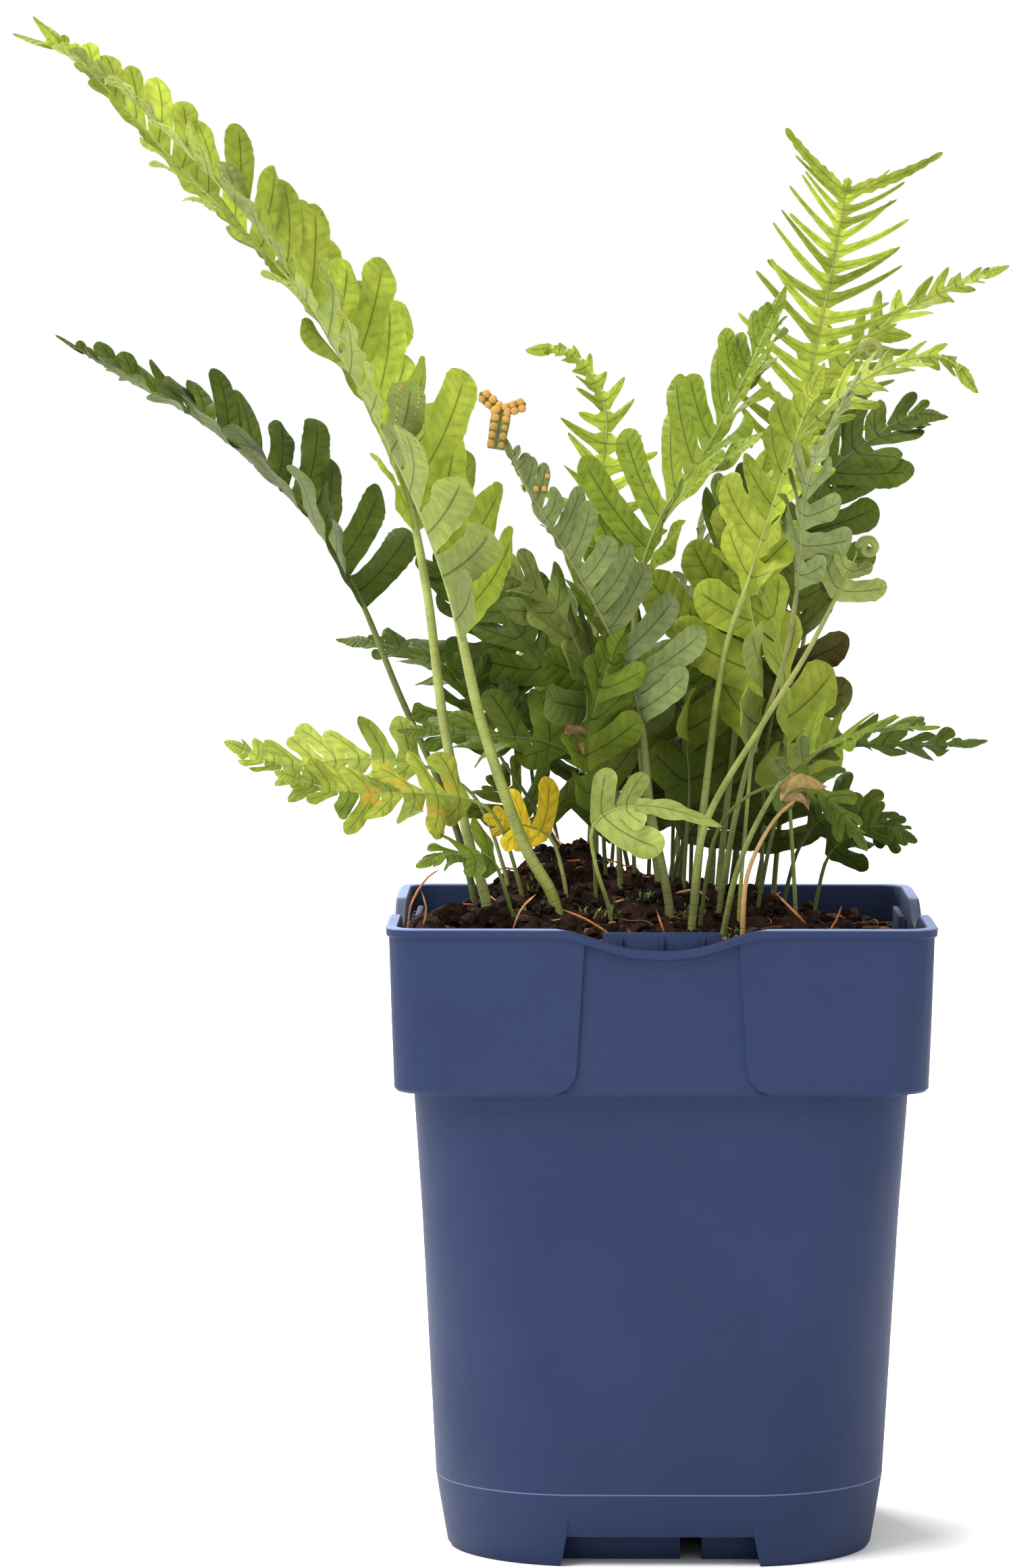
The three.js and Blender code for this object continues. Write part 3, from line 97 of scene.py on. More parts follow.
# The pot's mesh: columns in an eighth of its round, the one at a panel's edge, the width of that edge, and
# the shares of a panel's lower corner that get a row
OCTANT_COLUMNS = 20
EDGE_COLUMN = 6
EDGE_WIDTH = 0.55
PANEL_CORNER_STEPS = (0.12, 0.2, 0.32, 0.46, 0.62, 0.8, 1.0)
# Outside, inside and the foot's inside as level, half size and corner radius
OUTSIDE = (
    (0.0, 43.0, 28.0), (1.0, 43.7, 28.6), (3.6, 44.1, 29.0), (PARTING_LEVEL, 45.8, 29.0), (40.0, 46.9, 23.5),
    (70.0, 48.2, 17.5), (95.8, 49.7, 12.0), (96.3, 50.1, 11.8), (COLLAR_BOTTOM - 0.3, COLLAR_HALF - 0.5, 9.2),
    (COLLAR_BOTTOM + 0.4, COLLAR_HALF, 9.0), (POT_HEIGHT - 2.2, RIM_HALF - RIM_BEAD, 6.0),
    (POT_HEIGHT - 1.7, RIM_HALF - 0.1, 6.0), (POT_HEIGHT - 0.4, RIM_HALF, 6.0),
    (POT_HEIGHT, RIM_HALF - 0.5, 5.5),
)
INSIDE = (
    (POT_HEIGHT - 0.1, RIM_HALF - RIM_BEAD - WALL + 0.3, 4.8),
    (POT_HEIGHT - 0.6, RIM_HALF - RIM_BEAD - WALL, 4.6),
    (98.0, COLLAR_HALF - WALL, 7.4), (94.6, 49.7 - WALL, 10.5), (70.0, 48.2 - WALL, 16.0),
    (PARTING_LEVEL, 45.8 - WALL, 27.4), (FLOOR_TOP, 43.0, 27.6),
)
FOOT_INSIDE = ((FLOOR_BOTTOM, 39.6, 27.0), (0.0, 40.2, 27.0))
# Soil: its level at the wall, the mound's hills as place, reach and rise, the share of its rows that are its
# surface, and how far the others run down the wall
SOIL_EDGE_LEVEL = 122.0
HILLS = ((-8, -2, 26, 13), (-22, 1, 8, 8.5), (-40, -36, 18, 4.5), (24, -8, 13, 3))
SURFACE_SHARE = 0.94
SOIL_SKIRT = 14
SOIL_COLUMNS = 240
SOIL_ROWS = 96
# Stalks: how deep they stand, how far they rise straight and how upright, and their mesh
ROOT_DEPTH = 12.0
ROOT_RISE = 3.0
ROOT_UPRIGHT = 0.6
STALK_ROW = 2.5
STALK_SIDES = 10
UNDER_ROWS = 3
GROOVE = 0.16
COIL_TURNS = 1.2
COIL_ROWS = 34
# Leaflets of the plain solids: the bends and lengths that they may have, how far off a corner may lie, and
# how much nearer another bend has to be
BEND_STEPS = (0, 14, -14, 28, -28, 42, -42, 58)
LENGTH_STEPS = (1.0, 0.7)
MOST_GAP = 0.5
CLEARLY_NEARER = 0.02
# Form of the leaflets, in millimetres, degrees and shares
WING_HALF = 1.3
FORK_SWEEP = 68
FORK_HALF = 1.0
FORKED_NARROWING = 0.75
BASE_SWEEP = 68
CLOSING = 22
ROW_SPREAD = 1.3
END_WIDTH = 0.36
TAPERED_SHARE = 0.4
HOOK = 0.2
WILDNESS = 1.6
FORK_LOBES = 7
TOOTH_SPACING = 1.6
VEIN_SPACING = 1.9
VEIN_SLANT = 0.9
# Leaflets' mesh: columns across, length of a row, how rows crowd to the tip, and length of the UV map's unit
LEAF_COLUMNS = 8
LEAF_ROW = 0.8
TIP_CROWDING = 1.7
LEAF_MAP = 40.0
# Fronds with spore cases: the size of those below, of those above, and the share of the blade they start at
SPORES = {
    "frond_tall_front": (0.3, 0.0, 0.2),
    "frond_tall_back": (0.3, 0.0, 0.2),
    "frond_bumpy": (0.5, 0.42, 0.0),
    "frond_centre_grey": (0.75, 0.0, 0.78),
}
# Spore cases: where their rows stand across a leaflet, their spacing beside their size, and the share missing
CASE_COLUMNS = (0.24, 0.76)
CASE_SPACING = 4.2
MISSING_CASES = 0.3
SHORTEST_WITH_CASES = 6
# The frond with a standing crest at its tip: start, end and half width of each lobe, and its cases in a row
CRESTED_FROND = "frond_centre_grey"
CREST_LOBES = (
    ((-33.4, -27.6, 224.6), (-31.9, -27.6, 233.8), 2.1, 5),
    ((-32.4, -27.6, 232.4), (-36.6, -27.6, 236.0), 1.4, 3),
    ((-32.2, -27.6, 232.2), (-27.2, -27.6, 233.8), 1.3, 3),
)
CREST_CASE = 0.82
CREST_HALF_THICK = 0.15
# Marks in the paint of a frond's faces that tell its material what they are
STALK_MARK = 0.0
LEAF_MARK = 0.5
SPORE_MARK = 1.0
# Height beside width, and how far out they stand, of the cases below and of the bumps above
CASE_FORMS = {SPORE_MARK: (0.5, 0.42), LEAF_MARK: (0.3, 0.1)}
# The camera that took the picture, from the pot's corners: place, turn, tilt and focal length
CAMERA_PLACE = (-15.73, -1235.1, 237.4)
CAMERA_TURN = 0.0128
CAMERA_TILT = 0.0665
CAMERA_LENS = 212.6
SENSOR_WIDTH = 36.0
# Soft lights: place in metres and power beside the key light's
LIGHTS = (("key_light", (-0.7, -0.7, 1.4), 1.0), ("back_light", (-0.6, 1.1, 1.3), 1.3))
LIGHT_SIZE = 0.8
LIGHT_AIM = (0.0, 0.0, 0.15)
# The floor: half its size, and its painted glow, which lightens the pot's cast shadow on it, and the
# distances from the pot over which that glow comes up, in metres
FLOOR_SIZE = 6.0
FLOOR_COLOUR = (0.9, 0.9, 0.9, 1.0)
FLOOR_GLOW = 0.3
FLOOR_GLOW_REACH = (0.05, 0.11)


def mix(a, b, t):
    return a + (b - a) * t


def smooth(low, high, x):
    t = min(1.0, max(0.0, (x - low) / (high - low)))
    return t * t * (3 - 2 * t)


def hump(share):
    """Half a wave over a share from 0 to 1, and nothing beyond its ends."""
    return math.sin(math.pi * min(1.0, max(0.0, share)))


def ring(share, first, second):
    """The point of a ring, or of an oval, that starts along first and turns by way of second."""
    return first * math.cos(share * FULL_TURN) + second * math.sin(share * FULL_TURN)


def quarter_turn(count):
    return Matrix.Rotation(count * math.pi / 2, 3, "Z")


def soil_height(x, y):
    """Height of the peat's surface at a place, without its lumps."""
    mound = 0.0
    for hill_x, hill_y, reach, rise in HILLS:
        mound += rise * math.exp(-((x - hill_x) ** 2 + (y - hill_y) ** 2) / (2 * reach**2))
    ripples = 0.9 * math.sin(x * 0.43 + 1.3) * math.cos(y * 0.39 + 0.4) + 0.6 * math.sin(x * 0.91 + y * 0.77)
    return SOIL_EDGE_LEVEL + mound + ripples


class Frond:
    """What one frond is: its path in millimetres and the form of its leaflets."""

    # Share of the blade that the end lobe takes, or 0 where the pairs of leaflets give it
    lobe = 0.0
    # How broad the leaflets are beside their spacing
    wide = 1.0
    narrow = 1.0
    # Length of the two arms of a forked tip, or 0
    fork = 0.0
    # Angle of the lowest leaflets to the midrib, and how far the top ones close towards it
    sweep = BASE_SWEEP
    close = CLOSING
    # Radius of a rolled tip, or 0
    coil = 0.0
    # How much shorter the top leaflets are
    taper = 0.0
    # Whether its leaflets lie evenly, and whether they narrow to their tips
    calm = False
    tapered = False
    # Which way the foot of the blade faces, where it isn't the way that its tip does
    base_face = None

    def __init__(self, name, tone, root, face, fold, bare, pairs, reach, curl, radius, path, **more):
        self.name = name
        self.tone = tone
        self.root = root
        self.face = Vector(face)
        self.fold = fold
        self.bare = bare
        self.pairs = pairs
        self.reach = reach
        self.curl = curl
        self.radius = radius
        self.path = [Vector(p) for p in path]
        for key, value in more.items():
            setattr(self, key, value)
        self.base_face = Vector(self.base_face or face)
        self.spores_below, self.spores_above, self.spores_from = SPORES.get(name, (0.0, 0.0, 1.0))


# Every frond: name, tone, root on the soil, which way its blade faces, fold of its leaflets in degrees, share
# that is bare stalk, pairs and length of its leaflets, their curl, its stalk's radius, and its path upwards
FRONDS = (
    Frond("frond_tall_front", "bright", (-21, -28), (0.8, -0.3, 0.6), 44, 0.27, 20, 24, -0.12, 1.3,
          ((-28, -31, 146), (-36, -38, 170), (-42, -46, 196), (-51, -52, 220), (-64, -58, 245),
           (-79, -62, 268), (-96, -64, 286), (-112, -64, 300), (-127, -62, 306)), taper=0.42, calm=True),
    Frond("frond_tall_back", "bright", (-35, -26), (0.7, -0.5, 0.5), 34, 0.36, 17, 19, -0.1, 1.1,
          ((-39, -26, 146), (-44, -22, 169), (-48, -14, 198), (-54, -8, 221), (-70, 0, 251), (-87, 6, 270),
           (-101, 10, 284), (-115, 12, 299), (-130, 14, 314)), taper=0.35, calm=True),
    Frond("frond_deep_left", "deep", (-38, 3), (0.6, -0.1, 0.8), 34, 0.42, 14, 21, -0.1, 0.8,
          ((-44, 6, 151), (-54, 12, 173), (-64, 18, 196), (-76, 22, 213), (-96, 24, 230), (-110, 22, 238),
           (-126, 18, 248)), taper=0.35, calm=True, base_face=(0.75, -0.6, 0.2)),
    Frond("frond_small_left", "deep", (-25, 12), (0, -0.5, 0.9), 15, 0.45, 5, 9, -0.1, 0.45,
          ((-27, 16, 160), (-33, 20, 173), (-48, 24, 179), (-59, 26, 183), (-68, 28, 184))),
    Frond("frond_low_left_back", "pale", (-31, -6), (0.1, -0.75, 0.6), 10, 0.42, 9, 9, 0.05, 0.45,
          ((-38, -8, 153), (-50, -10, 160), (-63, -12, 161), (-77, -15, 160), (-89, -16, 165)), narrow=0.9),
    Frond("frond_low_left_front", "spotted", (-28, -18), (0.1, -0.75, 0.6), 5, 0.36, 9, 9, -0.05, 0.45,
          ((-34, -27, 151), (-43, -34, 155), (-52, -40, 156), (-65, -47, 157), (-77, -50, 161))),
    Frond("frond_low_rim", "mid", (-30, -36), (0, -0.6, 0.8), 5, 0.3, 4, 7, -0.1, 0.45,
          ((-34, -41, 143), (-39, -45, 144), (-44, -48, 144), (-49, -50, 142))),
    Frond("frond_yellow", "yellow", (-19, -18), (0, -1, 0.3), 12, 0.4, 3, 8, -0.15, 0.45,
          ((-22, -19, 145), (-27, -21, 148), (-36, -24, 150))),
    Frond("frond_pale_front", "palest", (-10, -34), (0.1, -1, 0.3), 5, 0.42, 2, 10, -0.1, 0.45,
          ((-13, -41, 141), (-14, -44, 149), (-10, -46, 153), (-4, -48, 154), (3, -49, 153), (12, -50, 150)),
          lobe=0.62, wide=1.2),
    Frond("frond_mid_left", "mid", (-11, -6), (0.2, -0.6, 0.75), 16, 0.42, 5, 11, -0.1, 0.45,
          ((-13, -8, 156), (-22, -10, 164), (-38, -11, 166), (-54, -10, 167))),
    Frond("frond_centre_grey", "grey", (2, -26), (0.75, 0.5, 0.45), 42, 0.36, 13, 17, -0.1, 0.95,
          ((-2, -28, 152), (-5, -30, 175), (-13, -31, 193), (-21, -30, 207), (-28, -28, 219),
           (-32, -27, 228)), narrow=1.0, sweep=80, close=20, taper=0.35, calm=True),
    Frond("frond_centre_back", "bright", (-13, 20), (0.3, -0.8, 0.5), 18, 0.56, 12, 14, -0.1, 0.65,
          ((-13, 28, 176), (-12, 36, 215), (-11, 38, 232), (-18, 40, 244), (-28, 40, 245)),
          narrow=0.8, sweep=80, taper=0.85, tapered=True),
    Frond("frond_bumpy", "fresh", (0, -12), (-0.75, -0.6, 0.1), 30, 0.44, 12, 21, -0.1, 0.85,
          ((-4, -10, 164), (-5, -8, 192), (0, -6, 210), (10, -2, 225), (19, 2, 242), (26, 6, 258)),
          sweep=60, taper=0.3, calm=True),
    Frond("frond_tall_right", "bright", (11, 18), (0.3, -0.9, 0.2), 14, 0.6, 17, 17, -0.15, 0.85,
          ((14, 24, 177), (22, 28, 205), (31, 30, 236), (36, 30, 259), (40, 28, 281)),
          lobe=0.03, narrow=0.8, fork=19, sweep=80, taper=0.1, calm=True, tapered=True),
    Frond("frond_far_right", "bright", (16, 31), (0.1, -0.6, 0.8), 12, 0.64, 11, 10, -0.1, 0.7,
          ((21, 40, 183), (30, 46, 226), (47, 48, 249), (62, 48, 258), (75, 46, 263)),
          narrow=1.0, taper=0.3, tapered=True),
    Frond("frond_right_curled", "bright", (12, -10), (0, -0.6, 0.9), 8, 0.6, 10, 10, -0.1, 0.7,
          ((18, -14, 185), (26, -20, 221), (32, -22, 231), (45, -24, 241), (57, -24, 243), (64, -24, 236)),
          taper=0.3, tapered=True),
    Frond("frond_deep_right", "deep", (15, 5), (0.2, -0.7, 0.7), 12, 0.55, 8, 14, -0.1, 0.7,
          ((22, 6, 177), (27, 8, 194), (34, 10, 217), (44, 12, 226), (52, 12, 231), (60, 10, 231))),
    Frond("frond_broad_right", "bright", (7, -21), (-0.7, -0.6, 0.4), 24, 0.56, 7, 13, -0.1, 0.85,
          ((12, -29, 179), (18, -35, 200), (26, -41, 225), (32, -44, 242)),
          wide=1.05, narrow=0.9, taper=0.2, calm=True),
    Frond("frond_young_bud", "stem", (6, -34), (0.2, -1, 0.2), 10, 0.86, 2, 7, 0, 0.8,
          ((9, -38, 150), (20, -44, 170), (29, -48, 185), (37, -50, 201), (39, -50, 206)),
          coil=1.8, calm=True),
    Frond("frond_browned", "browned", (21, -6), (0.3, -0.9, 0.3), 12, 0.45, 5, 13, -0.12, 0.45,
          ((22, -5, 162), (26, -4, 180), (29, -3, 196), (31, -3, 207))),
    Frond("frond_low_right_front", "mid", (12, -40), (0, -0.3, 0.95), 32, 0.5, 9, 10, -0.08, 0.7,
          ((16, -46, 144), (24, -54, 160), (33, -60, 167), (41, -64, 170), (54, -68, 171)),
          narrow=0.85, sweep=60, taper=0.3),
    Frond("frond_low_right_back", "deep", (20, -16), (0.1, -0.4, 0.9), 16, 0.45, 6, 7, -0.08, 0.45,
          ((25, -20, 153), (34, -24, 164), (44, -26, 165), (57, -28, 165), (66, -28, 166)), narrow=0.8),
    Frond("frond_drooping", "deep", (8, -30), (0.6, -0.6, 0.5), 8, 0.55, 5, 7, -0.1, 0.45,
          ((11, -33, 147), (17, -37, 155), (25, -41, 158), (31, -43, 157), (37, -45, 151), (41, -47, 145)),
          narrow=0.8),
    Frond("frond_inner_right", "deep", (4, 7), (0.6, -0.7, 0.4), 12, 0.16, 6, 15, -0.1, 0.45,
          ((9, 11, 154), (15, 15, 172), (22, 18, 188), (26, 18, 198))),
    Frond("frond_inner_left", "deep", (-6, 10), (-0.5, -0.7, 0.5), 12, 0.3, 6, 14, -0.1, 0.45,
          ((-12, 16, 157), (-24, 22, 177), (-34, 28, 192), (-40, 32, 202))),
    Frond("frond_inner_back", "mid", (3, 24), (0.7, 0.4, 0.5), 12, 0.3, 6, 14, -0.1, 0.45,
          ((4, 30, 162), (6, 38, 184), (9, 46, 204), (11, 50, 214))),
    Frond("frond_centre_low", "grey", (-8, -14), (0.5, -0.75, 0.45), 26, 0.3, 7, 16, -0.1, 0.65,
          ((-9, -18, 155), (-11, -21, 168), (-15, -24, 180), (-19, -26, 189), (-25, -28, 196),
           (-32, -28, 200), (-37, -27, 201))),
    Frond("frond_right_fresh", "bright", (28, -10), (0.5, -0.6, 0.6), 14, 0.26, 5, 13, -0.1, 0.45,
          ((26, -17, 160), (25, -22, 180), (19, -25, 198), (10, -27, 205))),
    Frond("frond_low_deep_right", "deep", (26, 4), (0, -0.8, 0.6), 8, 0.35, 5, 7, -0.1, 0.45,
          ((30, 6, 143), (37, 8, 149), (45, 8, 148), (52, 8, 142)), narrow=0.8),
    Frond("frond_rear", "mid", (5, 37), (0.1, -0.5, 0.9), 12, 0.35, 7, 14, -0.1, 0.45,
          ((6, 46, 152), (5, 58, 168), (2, 72, 174), (-2, 86, 170))),
    Frond("frond_rear_left", "fresh", (-13, 37), (0.2, -0.4, 0.9), 14, 0.38, 7, 14, -0.1, 0.45,
          ((-15, 46, 152), (-20, 58, 168), (-26, 70, 177), (-34, 82, 178))),
    Frond("frond_coiled", "stem", (24, 18), (0, -1, 0.1), 0, 1, 0, 0, 0, 0.6,
          ((28, 22, 167), (35, 26, 207), (42, 30, 238), (43, 30, 245)), coil=2.0),
    Frond("dry_stalk", "dry", (16, -46), (0, -1, 0.1), 0, 1, 0, 0, 0, 0.6,
          ((17, -47, 140), (22, -50, 151), (28, -52, 157))),
    Frond("frond_centre_broad", "mid", (-13, -20), (0.6, -0.6, 0.5), 24, 0.3, 5, 12, -0.1, 0.45,
          ((-14, -28, 153), (-15, -33, 164), (-13, -35, 174), (-10, -35, 183), (-7, -33, 189))),
    Frond("frond_right_bright", "bright", (16, -22), (-0.5, -0.7, 0.5), 16, 0.34, 6, 15, -0.1, 0.45,
          ((18, -26, 158), (20, -28, 179), (18, -28, 193), (17, -28, 204), (20, -28, 214), (25, -27, 223))),
    Frond("frond_right_grey", "grey", (12, -22), (0.7, 0.2, 0.6), 18, 0.6, 8, 11, -0.1, 0.65,
          ((17, -30, 159), (24, -40, 181), (27, -50, 200), (28, -57, 216), (33, -56, 230), (39, -54, 240)),
          narrow=0.9, taper=0.3),
    Frond("frond_behind_bumpy", "deep", (7, 28), (-0.3, -0.8, 0.5), 14, 0.58, 6, 14, -0.1, 0.45,
          ((8, 34, 162), (9, 36, 182), (12, 37, 199), (16, 36, 211), (19, 35, 220))),
    Frond("frond_small_right", "deep", (32, -5), (0.1, -0.7, 0.7), 8, 0.3, 5, 7, -0.1, 0.45,
          ((35, -6, 141), (41, -8, 146), (47, -9, 147), (53, -10, 144)), narrow=0.8),
    Frond("frond_left_dark", "deep", (-19, 26), (0.4, -0.8, 0.5), 14, 0.5, 6, 14, -0.1, 0.45,
          ((-24, 32, 153), (-32, 36, 173), (-38, 40, 187), (-43, 42, 197), (-47, 43, 207))),
    Frond("frond_right_yellow", "bright", (14, 26), (0.2, -0.9, 0.4), 12, 0.5, 4, 11, -0.1, 0.45,
          ((18, 32, 153), (24, 36, 164), (28, 38, 172), (31, 38, 178))),
    Frond("frond_centre_rise", "fresh", (-5, 4), (0.4, -0.85, 0.4), 16, 0.3, 6, 14, -0.1, 0.45,
          ((-6, 8, 156), (-9, 12, 176), (-12, 14, 190), (-13, 14, 202), (-14, 13, 210))),
    Frond("frond_left_low_dark", "deep", (-21, 0), (0.5, -0.8, 0.4), 10, 0.46, 5, 12, -0.1, 0.45,
          ((-25, 4, 149), (-34, 8, 162), (-39, 12, 171), (-42, 14, 182))),
    Frond("frond_rear_right", "fresh", (2, 34), (-0.2, 0.5, 0.9), 12, 0.42, 6, 14, -0.1, 0.45,
          ((7, 44, 152), (14, 56, 169), (21, 68, 180), (31, 76, 187))),
    Frond("frond_rear_centre", "mid", (-15, 42), (0.2, 0.6, 0.8), 12, 0.42, 6, 14, -0.1, 0.45,
          ((-14, 50, 153), (-15, 58, 172), (-17, 64, 185), (-20, 68, 195))),
    Frond("frond_mid_right", "fresh", (5, -10), (0.5, -0.7, 0.5), 14, 0.22, 5, 14, -0.1, 0.45,
          ((6, -14, 156), (5, -16, 170), (7, -18, 183), (12, -20, 192), (17, -22, 199))),
    Frond("frond_bright_back", "bright", (4, 12), (-0.2, -0.9, 0.4), 14, 0.36, 6, 14, -0.1, 0.45,
          ((5, 16, 160), (9, 20, 181), (16, 22, 198), (20, 24, 213), (24, 25, 226))),
    Frond("frond_low_centre_dark", "deep", (3, -2), (0.2, -0.8, 0.6), 12, 0.2, 5, 13, -0.1, 0.45,
          ((6, -2, 145), (12, -1, 152), (19, -2, 157))),
    Frond("frond_low_right_rise", "mid", (20, 14), (-0.2, -0.8, 0.5), 12, 0.25, 5, 12, -0.1, 0.45,
          ((23, 17, 144), (26, 19, 155), (28, 20, 165))),
    Frond("frond_low_centre_back", "deep", (-10, 26), (0.3, -0.8, 0.5), 12, 0.25, 5, 14, -0.1, 0.45,
          ((-9, 30, 146), (-9, 33, 157), (-11, 34, 167))),
    Frond("frond_low_left_centre", "mid", (-24, 10), (-0.2, -0.8, 0.6), 12, 0.2, 4, 12, -0.1, 0.45,
          ((-27, 10, 146), (-31, 11, 153), (-36, 13, 156))),
    Frond("frond_centre_right_mid", "mid", (8, -6), (0.3, -0.85, 0.4), 14, 0.42, 5, 14, -0.1, 0.45,
          ((9, -4, 153), (14, -3, 166), (19, -3, 176), (24, -5, 182))),
    Frond("frond_centre_dark", "deep", (-2, 16), (0.2, -0.85, 0.4), 12, 0.3, 5, 14, -0.1, 0.45,
          ((-1, 20, 154), (1, 22, 168), (5, 23, 180))),
)


class Line:
    """A smooth line through points, read by its share of the whole length."""

    FINE = 12

    def __init__(self, points, start):
        full = [points[0] - start * (points[0] - points[1]).length, *points]
        full.append(full[-1] * 2 - full[-2])
        self.samples = []
        for i in range(1, len(full) - 2):
            self.samples += [self.blend(full[i - 1:i + 3], j / self.FINE) for j in range(self.FINE)]
        self.samples.append(full[-2].copy())
        self.lengths = [0.0]
        for before, after in zip(self.samples, self.samples[1:]):
            self.lengths.append(self.lengths[-1] + (after - before).length)
        self.total = self.lengths[-1]

    @staticmethod
    def blend(p, t):
        weights = (-0.5 * t + t * t - 0.5 * t**3, 1 - 2.5 * t * t + 1.5 * t**3,
                   0.5 * t + 2 * t * t - 1.5 * t**3, -0.5 * t * t + 0.5 * t**3)
        return sum((point * w for point, w in zip(p, weights)), Vector())

    def at(self, share):
        target = min(1.0, max(0.0, share)) * self.total
        i = 1
        while i < len(self.lengths) - 1 and self.lengths[i] < target:
            i += 1
        t = (target - self.lengths[i - 1]) / (self.lengths[i] - self.lengths[i - 1])
        return self.samples[i - 1].lerp(self.samples[i], t)

    def tangent(self, share):
        step = 0.012
        return (self.at(share + step) - self.at(share - step)).normalized()


class Axis:
    """The stalk and midrib of a frond, and where its leaflets stand on it."""

    def __init__(self, frond):
        self.frond = frond
        root = Vector((*frond.root, soil_height(*frond.root)))
        toward = frond.path[0] - root
        self.lean = (toward + Vector((0, 0, toward.length * ROOT_UPRIGHT))).normalized()
        self.under = root - self.lean * ROOT_DEPTH
        self.start = root + self.lean * ROOT_RISE
        self.line = Line([self.start, *frond.path], self.lean)
        self.lobe = frond.lobe or 0.9 / (frond.pairs + 1)
        self.blade_end = frond.bare + (1 - frond.bare) * (1 - self.lobe)
        self.pitch = self.line.total * (self.blade_end - frond.bare) / max(1, frond.pairs)

    def thickness(self, share):
        return self.frond.radius * mix(1, 0.5, share)

    def share_of(self, k):
        return mix(self.frond.bare, self.blade_end, row_share(k, self.frond.pairs))

    def turned(self, share, tangent=None):
        """Place, direction, upper side and left side at a share of the length."""
        tangent = tangent or self.line.tangent(share)
        face = self.frond.base_face.lerp(self.frond.face, min(1.0, max(0.0, share)))
        up = (face - tangent * face.dot(tangent)).normalized()
        return self.line.at(share), tangent, up, tangent.cross(up).normalized()


def row_share(k, pairs):
    """Share of the blade at which row k of the leaflets stands: rows draw together towards the tip."""
    return 1 - (1 - k / pairs) ** ROW_SPREAD


class Leaflet:
    """One leaflet: its base on the midrib, its directions, its length and its width."""

    def __init__(self, axis, k, side, bend, length_share):
        frond = axis.frond
        self.axis = axis
        self.k = k
        near = axis.turned(axis.share_of(k))
        far = axis.turned(axis.share_of(k + 1))
        u = row_share(k + 0.5, frond.pairs)
        self.u = u
        self.tangent = (near[1] + far[1]).normalized()
        up = (near[2] + far[2]).normalized()
        self.across = self.tangent.cross(up).normalized() * side
        self.fork_end = bool(frond.fork) and k == frond.pairs - 1
        wild = 1.0 if frond.calm else WILDNESS
        sweep = frond.sweep - frond.close * u + 8 * wild * math.sin(k * 1.9 + side)
        sweep = math.radians(FORK_SWEEP if self.fork_end else sweep)
        fold = math.radians(frond.fold + bend + 9 * wild * math.sin(k * 1.3 + side * 0.7))
        narrowing = FORKED_NARROWING * u if frond.fork else u
        uneven = 1 + 0.13 * wild * math.sin(k * 2.3 + side)
        length = frond.reach * leaflet_reach(narrowing) * uneven * (1 - frond.taper * u)
        self.curl = frond.curl * (1 + 0.9 * math.sin(k * 2.7 + side * 1.4))
        self.length = (frond.fork if self.fork_end else length) * length_share
        out = self.across * math.cos(fold) + up * math.sin(fold)
        self.normal = up * math.cos(fold) - self.across * math.sin(fold)
        self.along = self.tangent * math.cos(sweep) + out * math.sin(sweep)
        self.crosswise = self.tangent * math.sin(sweep) - out * math.cos(sweep)
        self.base = (near[0] + far[0]) * 0.5 + self.across * WING_HALF * mix(1, 0.8, u)
        self.pitch = (near[0] - far[0]).length
        self.breadth = self.pitch * math.sin(sweep) * frond.wide * frond.narrow

    def centre(self, r):
        """The leaflet's middle line at a share r of its length."""
        bow = self.normal * (self.curl * r * r * self.length)
        hook = self.tangent * HOOK * r * r * self.length
        return self.base + self.along * r * self.length + bow + hook

    def corners(self):
        """Where the plain solid's leaflet ends, for telling how it was bent."""
        half = END_WIDTH * (TAPERED_SHARE if self.axis.frond.tapered else 1.0) * self.breadth
        half = FORK_HALF if self.fork_end else half
        return [self.centre(1.0) + self.crosswise * way * half for way in (-1, 1)]


def leaflet_reach(u):
    """Length of a leaflet beside its frond's longest, at a share u of the blade."""
    return min(1.0, 0.72 + 1.2 * u) * (1 - u**2.4) ** 0.8 * 0.92 + 0.1


def tree_of(node):
    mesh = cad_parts[node].data
    corners = [v.co / MM for v in mesh.vertices]
    return BVHTree.FromPolygons(corners, [tuple(p.vertices) for p in mesh.polygons])


def leaflets_of(axis):
    """The leaflets as the plain solid has them: for each, the bend whose corners lie on that solid."""
    tree = tree_of(axis.frond.name)
    found = []
    for k in range(axis.frond.pairs):
        for side in (1, -1):
            best = None
            for share in LENGTH_STEPS:
                for bend in BEND_STEPS:
                    leaflet = Leaflet(axis, k, side, bend, share)
                    gap = max(tree.find_nearest(corner)[3] for corner in leaflet.corners())
                    if best is None or gap < best[0] - CLEARLY_NEARER:
                        best = (gap, leaflet)
            if best[0] < MOST_GAP:
                found.append(best[1])
    return found


def faces_of(verts):
    """The faces that some vertices belong to, each once and always in the same order."""
    return list(dict.fromkeys(face for v in verts for face in v.link_faces))


def add_object(name, data):
    made = bpy.data.objects.new(name, data)
    bpy.context.collection.objects.link(made)
    return made


